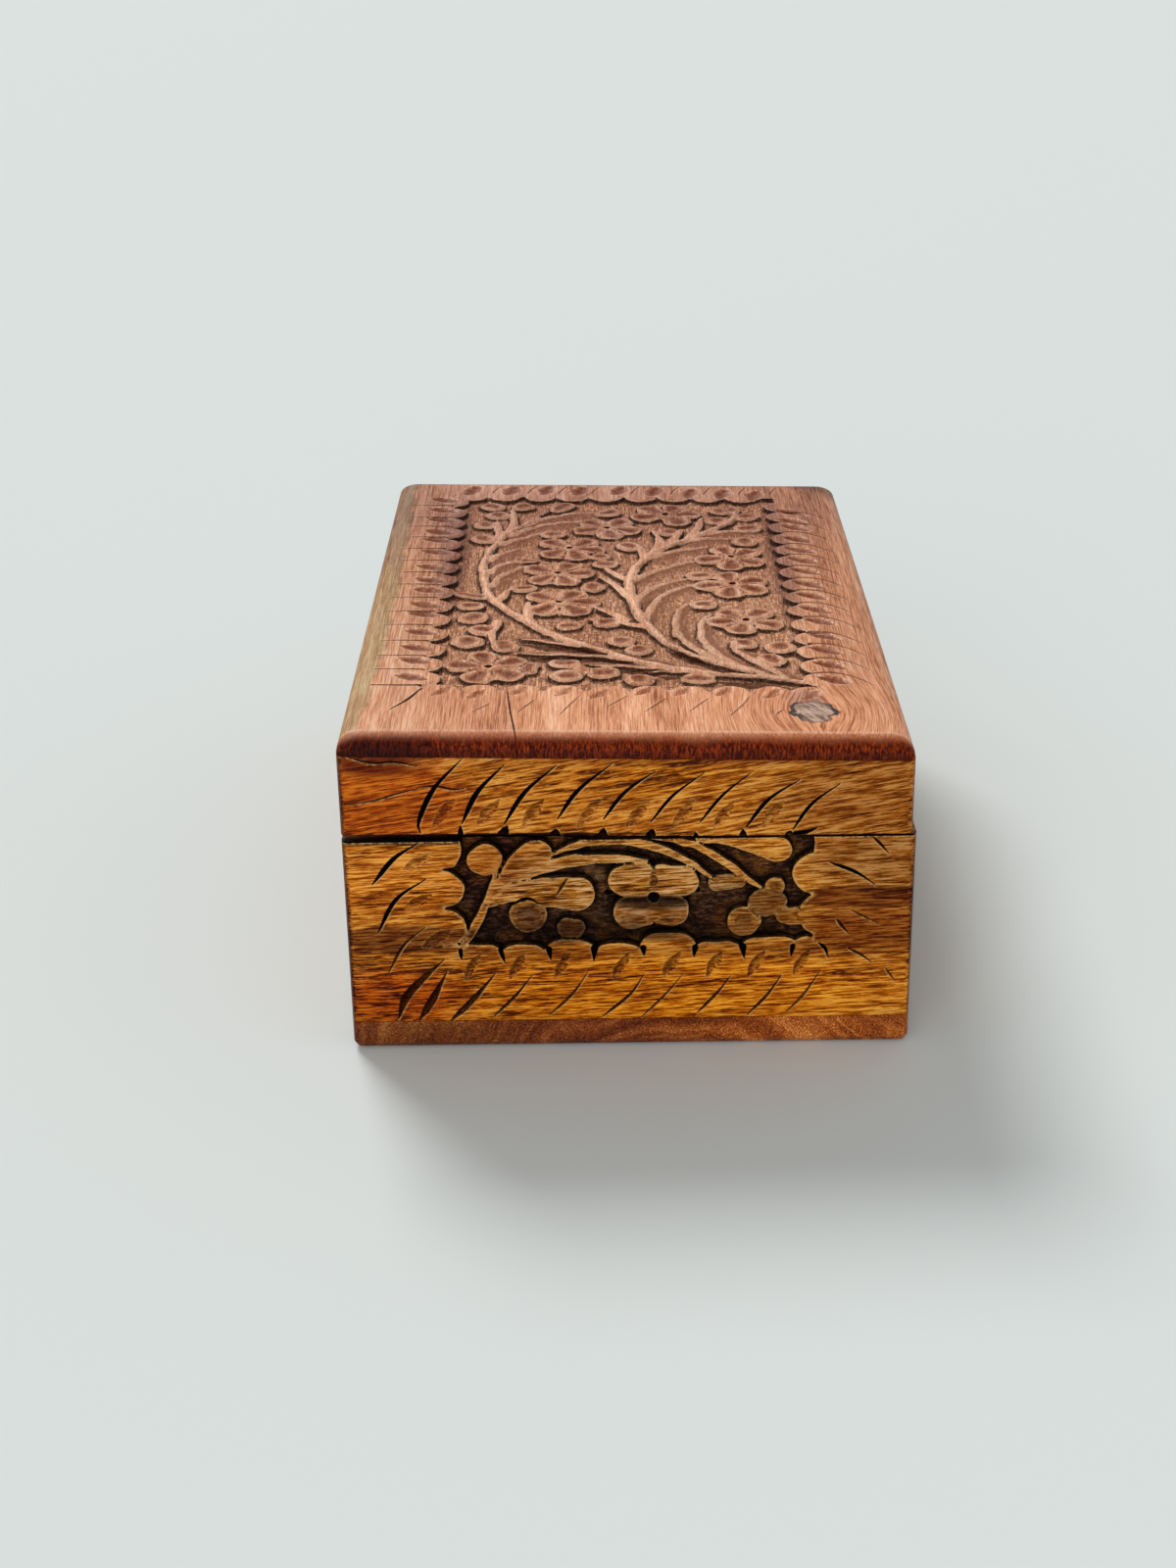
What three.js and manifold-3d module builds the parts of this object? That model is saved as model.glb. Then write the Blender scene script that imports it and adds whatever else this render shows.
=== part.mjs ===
// A small carved wooden trinket box. Five boards make the base and five make the lid, and two brass butt
// hinges join them at the back, let into the seam and held by countersunk screws. The top, the front and
// the ends have a sunk panel with flowers, vines and leaves left standing in it.
// Millimetres, +Z up. The origin is the middle of the underside. X runs along the box, the lid opens at
// the front (-Y) and turns about the hinge pins, just proud of the back (+Y).
import * as THREE from "three";
import { mergeVertices } from "three/addons/utils/BufferGeometryUtils.js";
import Module from "manifold-3d";

const wasm = await Module();
wasm.setup();

// Overall footprint
const boxLength = 152;
const boxWidth = 100;

// Boards
const bottomThickness = 5.4;
const baseWallHeight = 36;
const lidWallHeight = 14.4;
const topThickness = 4.8;
const wallThickness = 8;

// Edges: the top board is rounded over all round, the rest is only eased
const topEdgeRadius = 4.2;
const bottomEdgeRadius = 1.2;
const cornerRadius = 1;

// The gap between the lid and the base
const seamGap = 0.4;

// Hinges: how far each stands from its end of the box, and how far the pin is proud of the back
const hingeInset = 32;
const pinStandOff = 0.35;
const leafLength = 22;
const leafThickness = 0.9;
const leafMargin = 1.5;
const pinRadius = 0.6;
const pinEase = 0.15;
const mortiseClearance = 0.3;
const knuckleClearance = 0.2;
const pinClearance = 0.08;

// Hinge screws: how far each stands from its end of the leaf, and its own sizes
const screwInset = 4;
const screwHeadRadius = 1.6;
const screwShankRadius = 0.8;
const screwLength = 7;
const screwPointLength = 1.6;
const screwSlotWidth = 0.4;
const screwSlotDepth = 0.3;
const screwSlotTurn = 35;
const screwClearance = 0.1;

// Carving: how deep the panels are sunk, how far a flower's outline draws in between its petals, and the
// reach of each panel along its face. The panels of the base are open at the seam.
const panelDepth = 1.8;
const petalDrawIn = 0.12;
const topPanel = { u: [-34.4, 33.9], v: [-51.5, 62] };
const endPanel = { u: [-30.6, 30], floor: 20.6 };
const frontPanelReach = 57;

// The front panel has an end panel's forms on each side of its middle, moved this far from it
const frontFormsShift = 26.5;

// Flowers of the top as [u, v, radius, turn in degrees]
const topFlowers = [
  [-10.5, 28, 7.7, 50], [-12.8, 11.7, 7.7, 67], [-12.3, -6, 8.3, 63], [-25, -41.5, 8.1, 35], [10.5, 51.7, 7.9, 68],
  [-2.5, 42, 7.5, 52], [23.5, 22.5, 7.7, 45], [22.8, 5.5, 7.9, 27], [24.3, -15.5, 7.7, 58],
];

// Vines and the longest leaves of the top, as points of [u, v, half width]
const topStems = [
  [[33, -48, 0.9], [15, -43.6, 1.4], [0, -36, 1.4], [-10, -27.5, 1.3], [-19, -16, 1.2], [-26, -3, 1.1],
    [-28.3, 15, 1], [-27, 28, 0.9], [-21, 43, 0.8], [-15.5, 54, 0.5]],
  [[24, -43.5, 1.1], [12, -33, 1.6], [5.5, -20, 1.4], [2.3, -5, 1.3], [2.2, 10, 1.2], [6.5, 24, 1.1],
    [14.5, 34, 1], [21.5, 42.5, 1], [26, 53, 0.9]],
  [[30, -46, 1.3], [20, -39, 1.4], [15, -33, 1.1], [10.5, -18, 0.5]],
  [[-23, 37, 0.9], [-14, 45.5, 0.8], [-8, 47, 0.3]],
  [[3, -37.5, 0.9], [-8, -30, 0.8], [-19, -26.5, 0.3]],
  [[4.5, -15, 0.9], [9, 0, 0.8], [18, 7, 0.3]],
  [[6, 22, 0.9], [12, 27, 0.8], [18.5, 29.6, 0.3]],
];

// Round buds of the top as [u, v, radius]
const topBuds = [
  [-10.7, -41, 2.9], [-22.4, -29.8, 2.9], [-29, -14.8, 2.9], [-29, 40, 2.8], [-27, 54, 2.8], [28, 46, 2.8],
  [29, -31, 2.8], [3, -47, 2.8],
];

// Forms of an end panel: its four-petalled flower as a middle and two radii, its bud, and its leaves
const endFlower = { middle: [4.3, 29.2], radii: [8, 6.2] };
const endBud = [24, 28, 3.4];
const endStems = [
  [[-24.4, 30.2, 0.5], [-21.5, 34, 1.2], [-16, 38.5, 2.6]],
  [[-25, 28.6, 0.4], [-20, 31, 1.7], [-14, 31, 2.8], [-8, 30.6, 3]],
  [[-29, 21, 0.6], [-25.2, 29, 0.6], [-22.6, 38, 0.3]],
  [[-13.6, 38.3, 0.3], [-4, 40.9, 0.8], [8, 37.9, 0.7], [15.8, 32.6, 0.3]],
  [[12, 40.9, 0.4], [20, 40.3, 1.3], [26.5, 38.6, 2.4]],
];

// Facets on round shapes
const petalSteps = 4;
const budSides = 8;
const stemSteps = 2;
const barrelSides = 20;
const screwSides = 12;
const edgeSteps = 6;
const cornerSteps = 4;

// How far a cutting shape runs past the face that it cuts
const overrun = 1;

// Levels and planes worked out from the sizes above
const baseSeamZ = bottomThickness + baseWallHeight;
const lidSeamZ = baseSeamZ + seamGap;
const topUndersideZ = lidSeamZ + lidWallHeight;
const backY = boxWidth / 2;
const leafInnerY = backY - wallThickness + leafMargin;
const screwY = (leafInnerY + backY) / 2;
const screwReach = leafLength / 2 - screwInset;
const screwHeadHeight = screwHeadRadius - screwShankRadius;

// The pin stands midway in the seam, and each knuckle is the leaf's own metal rolled round it
const pinY = backY + pinStandOff;
const pinZ = (baseSeamZ + lidSeamZ) / 2;
const barrelRadius = pinRadius + pinClearance + leafThickness;
const knuckleLength = (leafLength - 2 * knuckleClearance) / 3;
const knucklePitch = knuckleLength + knuckleClearance;

// Materials, one for each finish on the box
const wood = (color, roughness) => new THREE.MeshStandardMaterial({ color, roughness, metalness: 0 });
const topWood = wood(0xb9805f, 0.7);
const wallWood = wood(0xa5662c, 0.5);
const bottomWood = wood(0x7a452c, 0.6);
const hingeBrass = new THREE.MeshStandardMaterial({ color: 0xb08d4a, roughness: 0.35, metalness: 1 });
const pinSteel = new THREE.MeshStandardMaterial({ color: 0x8d8a84, roughness: 0.4, metalness: 1 });

// A closed geometry as a solid that can be cut and joined
function solid(geometry) {
  const bare = new THREE.BufferGeometry();
  bare.setAttribute("position", geometry.getAttribute("position"));
  bare.setIndex(geometry.getIndex());
  const merged = mergeVertices(bare, 1e-4);
  return new wasm.Manifold(
    new wasm.Mesh({
      numProp: 3,
      vertProperties: merged.getAttribute("position").array,
      triVerts: new Uint32Array(merged.getIndex().array),
    }),
  );
}

// A solid as a geometry again
function geometryOf(body) {
  const mesh = body.getMesh();
  const geometry = new THREE.BufferGeometry();
  geometry.setAttribute("position", new THREE.BufferAttribute(mesh.vertProperties, 3));
  geometry.setIndex(new THREE.BufferAttribute(mesh.triVerts, 1));
  geometry.computeVertexNormals();
  return geometry;
}

// A block between two values on each axis, given in either order
function block([x0, x1], [y0, y1], [z0, z1]) {
  const geometry = new THREE.BoxGeometry(Math.abs(x1 - x0), Math.abs(y1 - y0), Math.abs(z1 - z0));
  return geometry.translate((x0 + x1) / 2, (y0 + y1) / 2, (z0 + z1) / 2);
}

// Where a face's own u and v run, and its w, which points out of the wood
function facing(u, v, w, origin) {
  const [uWay, vWay, wWay, middle] = [u, v, w, origin].map((values) => new THREE.Vector3(...values));
  return new THREE.Matrix4().makeBasis(uWay, vWay, wWay).setPosition(middle);
}

// A flower's outline, with equal petals round its middle and the first of them at turn
function flowerOutline([u, v], [radiusU, radiusV], petals, turn) {
  const steps = petals * petalSteps;
  const first = THREE.MathUtils.degToRad(turn);
  return Array.from({ length: steps }, (_, i) => {
    const angle = (2 * Math.PI * i) / steps;
    const reach = 1 - petalDrawIn * (1 - Math.cos(petals * angle));
    return [u + radiusU * reach * Math.cos(angle + first), v + radiusV * reach * Math.sin(angle + first)];
  });
}

// A round bud's outline
function budOutline([u, v, radius]) {
  const turns = Array.from({ length: budSides }, (_, i) => (2 * Math.PI * i) / budSides);
  return turns.map((turn) => [u + radius * Math.cos(turn), v + radius * Math.sin(turn)]);
}

// A stem's or a leaf's outline, from points of [u, v, half width] along its middle: out on one side of a
// smooth line through them and back on the other
function stemOutline(points) {
  const line = new THREE.CatmullRomCurve3(points.map((point) => new THREE.Vector3(...point)));
  const stations = line.getPoints(stemSteps * (points.length - 1));
  const side = (sign) => stations.map(({ x: u, y: v, z: half }, i) => {
    const before = stations[Math.max(i - 1, 0)];
    const after = stations[Math.min(i + 1, stations.length - 1)];
    const run = Math.hypot(after.x - before.x, after.y - before.y);
    const shift = (sign * half) / run;
    return [u + shift * (before.y - after.y), v + shift * (after.x - before.x)];
  });
  return [...side(1), ...side(-1).reverse()];
}

// Sinks a panel into a board's face and leaves the outlined forms standing in it
function sinkPanel(board, uReach, vReach, outlines, place) {
  let pocket = solid(block(uReach, vReach, [-panelDepth, overrun]).applyMatrix4(place));
  for (const outline of outlines) {
    const shape = new THREE.Shape(outline.map(([u, v]) => new THREE.Vector2(u, v)));
    const settings = { depth: panelDepth + 3 * overrun, bevelEnabled: false };
    const form = new THREE.ExtrudeGeometry(shape, settings).translate(0, 0, -panelDepth - overrun);
    pocket = pocket.subtract(solid(form.applyMatrix4(place)));
  }
  return board.subtract(pocket);
}

// A turned shape about Z, from points of [radius, height] that run from the axis to the axis
function turned(points, sides) {
  const profile = points.map(([radius, height]) => new THREE.Vector2(radius, height));
  return new THREE.LatheGeometry(profile, sides).rotateX(Math.PI / 2);
}

// A round rod on the hinge axis with its middle at x and its ends eased
function rodOnAxis(x, length, radius, ease) {
  const eased = [[radius - ease, 0], [radius, ease], [radius, length - ease], [radius - ease, length]];
  const plain = [[radius, 0], [radius, length]];
  const rod = turned([[0, 0], ...(ease ? eased : plain), [0, length]], barrelSides);
  return rod.rotateY(Math.PI / 2).translate(x - length / 2, pinY, pinZ);
}

// A board's section, standing on y = 0, with its two upper or two lower corners round
function boardSection(width, height, upperRadius, lowerRadius) {
  const half = width / 2;
  const shape = new THREE.Shape();
  const corner = (x, y, radius, start) => {
    if (radius) shape.absarc(x, y, radius, start, start + Math.PI / 2, false);
    else shape.lineTo(x, y);
  };
  shape.moveTo(0, 0);
  corner(half - lowerRadius, lowerRadius, lowerRadius, -Math.PI / 2);
  corner(half - upperRadius, height - upperRadius, upperRadius, 0);
  corner(upperRadius - half, height - upperRadius, upperRadius, Math.PI / 2);
  corner(lowerRadius - half, lowerRadius, lowerRadius, Math.PI);
  return shape;
}

// The box's footprint with its upright corners round, from z = 0 up
function footprint(height) {
  const shape = new THREE.Shape();
  const x = boxLength / 2 - cornerRadius;
  const y = boxWidth / 2 - cornerRadius;
  shape.absarc(x, y, cornerRadius, 0, Math.PI / 2, false);
  shape.absarc(-x, y, cornerRadius, Math.PI / 2, Math.PI, false);
  shape.absarc(-x, -y, cornerRadius, Math.PI, 1.5 * Math.PI, false);
  shape.absarc(x, -y, cornerRadius, 1.5 * Math.PI, 2 * Math.PI, false);
  const settings = { depth: height, bevelEnabled: false, curveSegments: cornerSteps };
  return solid(new THREE.ExtrudeGeometry(shape, settings));
}

// A board over the whole footprint. Its edges are rounded along each side in turn, so the rounds meet
// in a mitre at the corners.
function fullBoard(z, thickness, upperRadius, lowerRadius) {
  const run = (width, length) => {
    const section = boardSection(width, thickness, upperRadius, lowerRadius);
    const settings = { depth: length, bevelEnabled: false, curveSegments: edgeSteps };
    return new THREE.ExtrudeGeometry(section, settings).translate(0, 0, -length / 2).rotateX(Math.PI / 2);
  };
  const along = solid(run(boxWidth, boxLength).rotateZ(Math.PI / 2));
  const across = solid(run(boxLength, boxWidth));
  return along.intersect(across).intersect(footprint(thickness)).translate([0, 0, z]);
}

// The lid's top board with its carved panel
function topBoard() {
  const flowers = topFlowers.map(([u, v, radius, turn]) => flowerOutline([u, v], [radius, radius], 5, turn));
  const outlines = [...flowers, ...topStems.map(stemOutline), ...topBuds.map(budOutline)];
  const place = facing([0, 1, 0], [-1, 0, 0], [0, 0, 1], [0, 0, topUndersideZ + topThickness]);
  const board = fullBoard(topUndersideZ, topThickness, topEdgeRadius, 0);
  return sinkPanel(board, topPanel.u, topPanel.v, outlines, place);
}

// An end wall is as wide as the box. side is +1 or -1 along X.
function endWall(side, z, height) {
  const span = [(side * boxLength) / 2, side * (boxLength / 2 - wallThickness)];
  const slab = solid(block(span, [-boxWidth / 2, boxWidth / 2], [0, height]));
  return slab.intersect(footprint(height)).translate([0, 0, z]);
}

// A long wall butts between the end walls. side is +1 or -1 along Y.
function longWall(side, z, height) {
  const reach = boxLength / 2 - wallThickness;
  const span = [(side * boxWidth) / 2, side * (boxWidth / 2 - wallThickness)];
  return solid(block([-reach, reach], span, [z, z + height]));
}

// The outlines of an end panel's forms. A turn of 45 degrees puts the petals on the diagonals.
function endForms() {
  const flower = flowerOutline(endFlower.middle, endFlower.radii, 4, 45);
  return [flower, budOutline(endBud), ...endStems.map(stemOutline)];
}

// An end wall of the base with its carved panel
function carvedEndWall(side) {
  const place = facing([0, side, 0], [0, 0, 1], [side, 0, 0], [(side * boxLength) / 2, 0, 0]);
  const wall = endWall(side, bottomThickness, baseWallHeight);
  return sinkPanel(wall, endPanel.u, [endPanel.floor, baseSeamZ + overrun], endForms(), place);
}

// The front wall of the base. Its panel has the end's forms on the left and their mirror on the right.
function carvedFrontWall() {
  const left = endForms().map((outline) => outline.map(([u, v]) => [u - frontFormsShift, v]));
  const right = left.map((outline) => outline.map(([u, v]) => [-u, v]));
  const place = facing([1, 0, 0], [0, 0, 1], [0, -1, 0], [0, -boxWidth / 2, 0]);
  const wall = longWall(-1, bottomThickness, baseWallHeight);
  const uReach = [-frontPanelReach, frontPanelReach];
  return sinkPanel(wall, uReach, [endPanel.floor, baseSeamZ + overrun], [...left, ...right], place);
}

// Hinge places along the back, and screw places along a hinge
const hinges = { hinge_left: hingeInset - boxLength / 2, hinge_right: boxLength / 2 - hingeInset };
const screwsOf = (x) => [x - screwReach, x + screwReach];

// From here on, face is the level of a wall's seam face, and into is +1 where the wall is above it
// and -1 where it is below.

// A countersunk screw with its head flush with z = 0 and the rest above it, as the hole round it
function screwHole() {
  const head = screwHeadRadius + screwClearance;
  const shank = screwShankRadius + screwClearance;
  const mouth = [[0, -screwClearance], [head, -screwClearance], [head, screwClearance]];
  const bore = [[shank, screwHeadHeight + screwClearance], [shank, screwLength], [0, screwLength]];
  return solid(turned([...mouth, ...bore], screwSides));
}

// Turns a body that was made pointing up into its wall, and puts it in place
function driven(body, x, face, into) {
  const aimed = into > 0 ? body : body.rotate([180, 0, 0]);
  return aimed.translate([x, screwY, face]);
}

// A back wall with a mortise for each leaf, a groove for its barrel and a pilot hole for each screw
function backWall(z, height, face, into) {
  const halfLength = leafLength / 2 + mortiseClearance;
  const grooveReach = barrelRadius + mortiseClearance;
  const mortiseSpan = [leafInnerY - mortiseClearance, backY + overrun];
  const mortiseLevel = [face - into * overrun, face + into * leafThickness];
  const grooveSpan = [pinY - grooveReach, backY + overrun];
  const grooveLevel = [face - into * overrun, pinZ + into * grooveReach];
  let wall = longWall(1, z, height);
  for (const x of Object.values(hinges)) {
    const run = [x - halfLength, x + halfLength];
    wall = wall.subtract(solid(block(run, mortiseSpan, mortiseLevel)));
    wall = wall.subtract(solid(block(run, grooveSpan, grooveLevel)));
    for (const screwX of screwsOf(x)) wall = wall.subtract(driven(screwHole(), screwX, face, into));
  }
  return wall;
}

// A leaf: a plate in its mortise with countersunk holes, its own knuckles, and notches for the other's
function hingeLeaf(x, face, into, ownKnuckles, otherKnuckles) {
  const level = [face, face + into * leafThickness];
  const notchLevel = [face - into * overrun, face + into * (leafThickness + overrun)];
  const notchSpan = [pinY - barrelRadius - knuckleClearance, pinY + overrun];
  const notchHalf = knuckleLength / 2 + knuckleClearance;
  let leaf = solid(block([x - leafLength / 2, x + leafLength / 2], [leafInnerY, pinY], level));
  for (const middle of otherKnuckles) {
    leaf = leaf.subtract(solid(block([middle - notchHalf, middle + notchHalf], notchSpan, notchLevel)));
  }
  for (const middle of ownKnuckles) leaf = leaf.add(solid(rodOnAxis(middle, knuckleLength, barrelRadius, 0)));
  leaf = leaf.subtract(solid(rodOnAxis(x, leafLength + 2 * overrun, pinRadius + pinClearance, 0)));
  for (const screwX of screwsOf(x)) leaf = leaf.subtract(driven(screwHole(), screwX, face, into));
  return leaf;
}

// A screw: pointed, with a slot across its head
function screw(x, face, into) {
  const head = [[0, 0], [screwHeadRadius, 0], [screwShankRadius, screwHeadHeight]];
  const tip = [[screwShankRadius, screwLength - screwPointLength], [0, screwLength - screwClearance]];
  const body = solid(turned([...head, ...tip], screwSides));
  const slotRun = [-2 * screwHeadRadius, 2 * screwHeadRadius];
  const slot = solid(block([-screwSlotWidth / 2, screwSlotWidth / 2], slotRun, [-overrun, screwSlotDepth]));
  const turnedSlot = slot.rotate([0, 0, Math.sign(x) * screwSlotTurn]);
  return driven(body.subtract(turnedSlot), x, face, into);
}

// Assembly: each piece is a mesh with its own name
function piece(name, body, material) {
  const mesh = new THREE.Mesh(geometryOf(body), material);
  mesh.name = name;
  return mesh;
}

const base = new THREE.Group();
base.add(piece("bottom_board", fullBoard(0, bottomThickness, 0, bottomEdgeRadius), bottomWood));
base.add(piece("base_front_wall", carvedFrontWall(), wallWood));
base.add(piece("base_back_wall", backWall(bottomThickness, baseWallHeight, baseSeamZ, -1), wallWood));
base.add(piece("base_left_wall", carvedEndWall(-1), wallWood));
base.add(piece("base_right_wall", carvedEndWall(1), wallWood));

const lid = new THREE.Group();
lid.add(piece("lid_front_wall", longWall(-1, lidSeamZ, lidWallHeight), wallWood));
lid.add(piece("lid_back_wall", backWall(lidSeamZ, lidWallHeight, lidSeamZ, 1), wallWood));
lid.add(piece("lid_left_wall", endWall(-1, lidSeamZ, lidWallHeight), wallWood));
lid.add(piece("lid_right_wall", endWall(1, lidSeamZ, lidWallHeight), wallWood));
lid.add(piece("top_board", topBoard(), topWood));

for (const [name, x] of Object.entries(hinges)) {
  const outer = [x - knucklePitch, x + knucklePitch];
  base.add(piece(`${name}_base_leaf`, hingeLeaf(x, baseSeamZ, -1, outer, [x]), hingeBrass));
  base.add(piece(`${name}_pin`, solid(rodOnAxis(x, leafLength, pinRadius, pinEase)), pinSteel));
  lid.add(piece(`${name}_lid_leaf`, hingeLeaf(x, lidSeamZ, 1, [x], outer), hingeBrass));
  screwsOf(x).forEach((screwX, i) => {
    base.add(piece(`${name}_base_screw_${i + 1}`, screw(screwX, baseSeamZ, -1), hingeBrass));
    lid.add(piece(`${name}_lid_screw_${i + 1}`, screw(screwX, lidSeamZ, 1), hingeBrass));
  });
}

const trinketBox = new THREE.Group();
trinketBox.name = "carved_trinket_box";
trinketBox.add(base, lid);

export default trinketBox;
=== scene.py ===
import math
from functools import partial

import bmesh
import bpy
import numpy as np
from mathutils import Matrix, Vector


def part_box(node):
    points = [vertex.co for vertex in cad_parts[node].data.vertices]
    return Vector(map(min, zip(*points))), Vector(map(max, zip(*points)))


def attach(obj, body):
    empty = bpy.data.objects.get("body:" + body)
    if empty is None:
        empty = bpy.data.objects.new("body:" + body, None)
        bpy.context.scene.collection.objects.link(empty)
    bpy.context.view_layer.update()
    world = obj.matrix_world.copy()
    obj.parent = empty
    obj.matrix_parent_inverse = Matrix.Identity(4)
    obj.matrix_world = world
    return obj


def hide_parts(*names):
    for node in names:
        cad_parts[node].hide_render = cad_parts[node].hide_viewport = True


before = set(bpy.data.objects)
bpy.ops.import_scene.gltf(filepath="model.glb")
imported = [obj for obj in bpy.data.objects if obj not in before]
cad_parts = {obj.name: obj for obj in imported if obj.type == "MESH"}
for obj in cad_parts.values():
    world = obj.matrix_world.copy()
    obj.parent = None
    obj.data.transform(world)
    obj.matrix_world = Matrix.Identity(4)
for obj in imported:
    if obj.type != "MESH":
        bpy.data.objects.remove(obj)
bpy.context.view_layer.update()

# Studio.
# The box stands on a wide pale floor. One large soft lamp stands high behind it and
# a weaker one beside the viewer, in an even white surround that looks as pale as the floor.
# The viewer looks down on one short end from about 0.44 m.
MM = 0.001


def shade(red, green, blue):
    """A colour as it is seen, 0 to 255, as the linear values that a shader takes."""
    seen = np.array((red, green, blue)) / 255
    linear = np.where(seen <= 0.04045, seen / 12.92, ((seen + 0.055) / 1.055) ** 2.4)
    return (*linear.tolist(), 1.0)


def add_node(tree, kind, inputs=None, **settings):
    """A shader node with its settings, whose inputs are given as values or as sockets to link."""
    made = tree.nodes.new(kind)
    for key, value in settings.items():
        setattr(made, key, value)
    for key, value in (inputs or {}).items():
        if isinstance(value, bpy.types.NodeSocket):
            tree.links.new(value, made.inputs[key])
        else:
            made.inputs[key].default_value = value
    return made


def maths(tree, operation, first, second=0.0, third=0.0, clamp=False):
    """A step of arithmetic on values."""
    inputs = {0: first, 1: second, 2: third}
    return add_node(tree, "ShaderNodeMath", inputs, operation=operation, use_clamp=clamp).outputs[0]


def new_material(name):
    """A new material, its node tree and its shader."""
    material = bpy.data.materials.new(name)
    material.use_nodes = True
    tree = material.node_tree
    return material, tree, tree.nodes["Principled BSDF"]


def set_down(name, data):
    """A new object in the scene."""
    made = bpy.data.objects.new(name, data)
    bpy.context.scene.collection.objects.link(made)
    return made


def facing(u_way, v_way, w_way, origin, unit=MM):
    """The matrix that lays u, v and w along three directions from an origin, all in one unit."""
    turned = np.eye(4)
    turned[:3] = np.column_stack((u_way, v_way, w_way, origin)) * unit
    return Matrix(turned.tolist())


def aim(place, target, roll=0.0):
    """The world matrix of a camera or lamp at place that looks at target."""
    place = np.array(place, float)
    ahead = np.array(target, float) - place
    ahead /= np.linalg.norm(ahead)
    right = np.cross(ahead, (0, 0, 1))
    right /= np.linalg.norm(right)
    up = np.cross(right, ahead)
    side = right * math.cos(roll) + up * math.sin(roll)
    top = up * math.cos(roll) - right * math.sin(roll)
    return facing(side, top, -ahead, place, unit=1)


camera_place = (0.4405, -0.0040, 0.2150)
camera_yaw = -0.008
camera_pitch = 0.421
camera_roll = -0.017
camera_ahead = (
    -math.cos(camera_yaw) * math.cos(camera_pitch),
    math.sin(camera_yaw) * math.cos(camera_pitch),
    -math.sin(camera_pitch),
)
camera_data = bpy.data.cameras.new("camera")
camera_data.sensor_fit = "VERTICAL"
camera_data.sensor_height = 36
camera_data.lens = 53.4
camera_data.clip_start = 0.01
camera = set_down("camera", camera_data)
camera.matrix_world = aim(camera_place, np.add(camera_place, camera_ahead), camera_roll)
bpy.context.scene.camera = camera


def soft_lamp(name, place, width, strength):
    """A far lamp as wide as the given angle, that shines from place to the box."""
    data = bpy.data.lights.new(name, "SUN")
    data.angle = math.radians(width)
    data.energy = strength
    set_down(name, data).matrix_world = aim(place, (0, 0, 0))


soft_lamp("high_lamp", (-0.8, -0.35, 0.8), 22, 2.15)
soft_lamp("front_lamp", (1.0, -0.25, 0.35), 50, 1.1)

world = bpy.data.worlds.new("surround")
world.use_nodes = True
air = world.node_tree
even_light = air.nodes["Background"]
even_light.inputs["Color"].default_value = (1, 1, 1, 1)
even_light.inputs["Strength"].default_value = 0.43
pale_air = add_node(air, "ShaderNodeBackground", {"Color": shade(217, 223, 221), "Strength": 1.0})
ray = add_node(air, "ShaderNodeLightPath").outputs
mirrored = maths(air, "MAXIMUM", ray["Is Glossy Ray"], ray["Is Transmission Ray"])
seen = maths(air, "MAXIMUM", ray["Is Camera Ray"], mirrored)
surround = add_node(air, "ShaderNodeMixShader", {0: seen, 1: even_light.outputs[0], 2: pale_air.outputs[0]})
air.links.new(surround.outputs[0], air.nodes["World Output"].inputs["Surface"])
bpy.context.scene.world = world
bpy.context.scene.view_settings.view_transform = "Standard"

floor_half = 6.0
floor_level = -0.0002
floor_mesh = bpy.data.meshes.new("floor")
bm = bmesh.new()
bmesh.ops.create_grid(bm, x_segments=1, y_segments=1, size=floor_half)
bm.to_mesh(floor_mesh)
bm.free()
floor = set_down("floor", floor_mesh)
floor.location.z = floor_level
floor_paint, _, floor_shader = new_material("floor_paint")
floor_shader.inputs["Base Color"].default_value = shade(216, 222, 220)
floor_shader.inputs["Roughness"].default_value = 0.9
floor_shader.inputs["Specular IOR Level"].default_value = 0.1
floor.data.materials.append(floor_paint)

# Bottom board.
# One flat board of reddish hardwood under the whole box, with its lower edges rounded.
# It is planed, waxed and glued under the walls.


def fold(along, low, high, round_low, round_high):
    """Lays a coordinate of an unrolled face over its rounded edges: the place and the drop."""
    over = np.clip((along - high + round_high) / round_high, 0, math.pi / 2)
    under = np.clip((low + round_low - along) / round_low, 0, math.pi / 2)
    place = np.clip(along, low + round_low, high - round_high)
    place = place + round_high * np.sin(over) - round_low * np.sin(under)
    drop = round_high * (1 - np.cos(over)) + round_low * (1 - np.cos(under))
    return place, drop


def round_corners(places, low, high, corner):
    """Rounds the four upright corners of a board in its plan: corner gives the radius at the
    show face and at 4 mm under it."""
    middle = (np.array(low) + high) / 2
    half = (np.array(high) - low) / 2
    radius = np.interp(-places[:, 2], (0, 4), corner)[:, None]
    beyond = np.abs(places[:, :2] - middle) - (half - radius)
    there = (beyond > 0).all(axis=1)
    reach = beyond[there]
    reach = reach * (reach.max(axis=1) / np.hypot(reach[:, 0], reach[:, 1]))[:, None]
    sides = np.sign(places[there, :2] - middle)
    places[there, :2] = middle + sides * (half - radius[there] + reach)


def plan_of(verts):
    """Where points lie on a sheet, without their height."""
    return np.array([vert.co[:2] for vert in verts])


def mark_walls(bm):
    """Marks the steep faces of a carved sheet, apart from those that barely leave its surface,
    for painted shade and dirt down them.
    """
    steep, steepest, barely = 0.8, 0.6, 0.04
    bm.normal_update()
    wall = bm.faces.layers.float.new("wall")
    sunk = bm.verts.layers.float["ground"]
    for face in bm.faces:
        share = sum(vert[sunk] for vert in face.verts) / len(face.verts)
        mark = np.clip((steep - face.normal.z) / (steep - steepest), 0, 1)
        face[wall] = float(mark) if share > barely else 0.0


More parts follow.
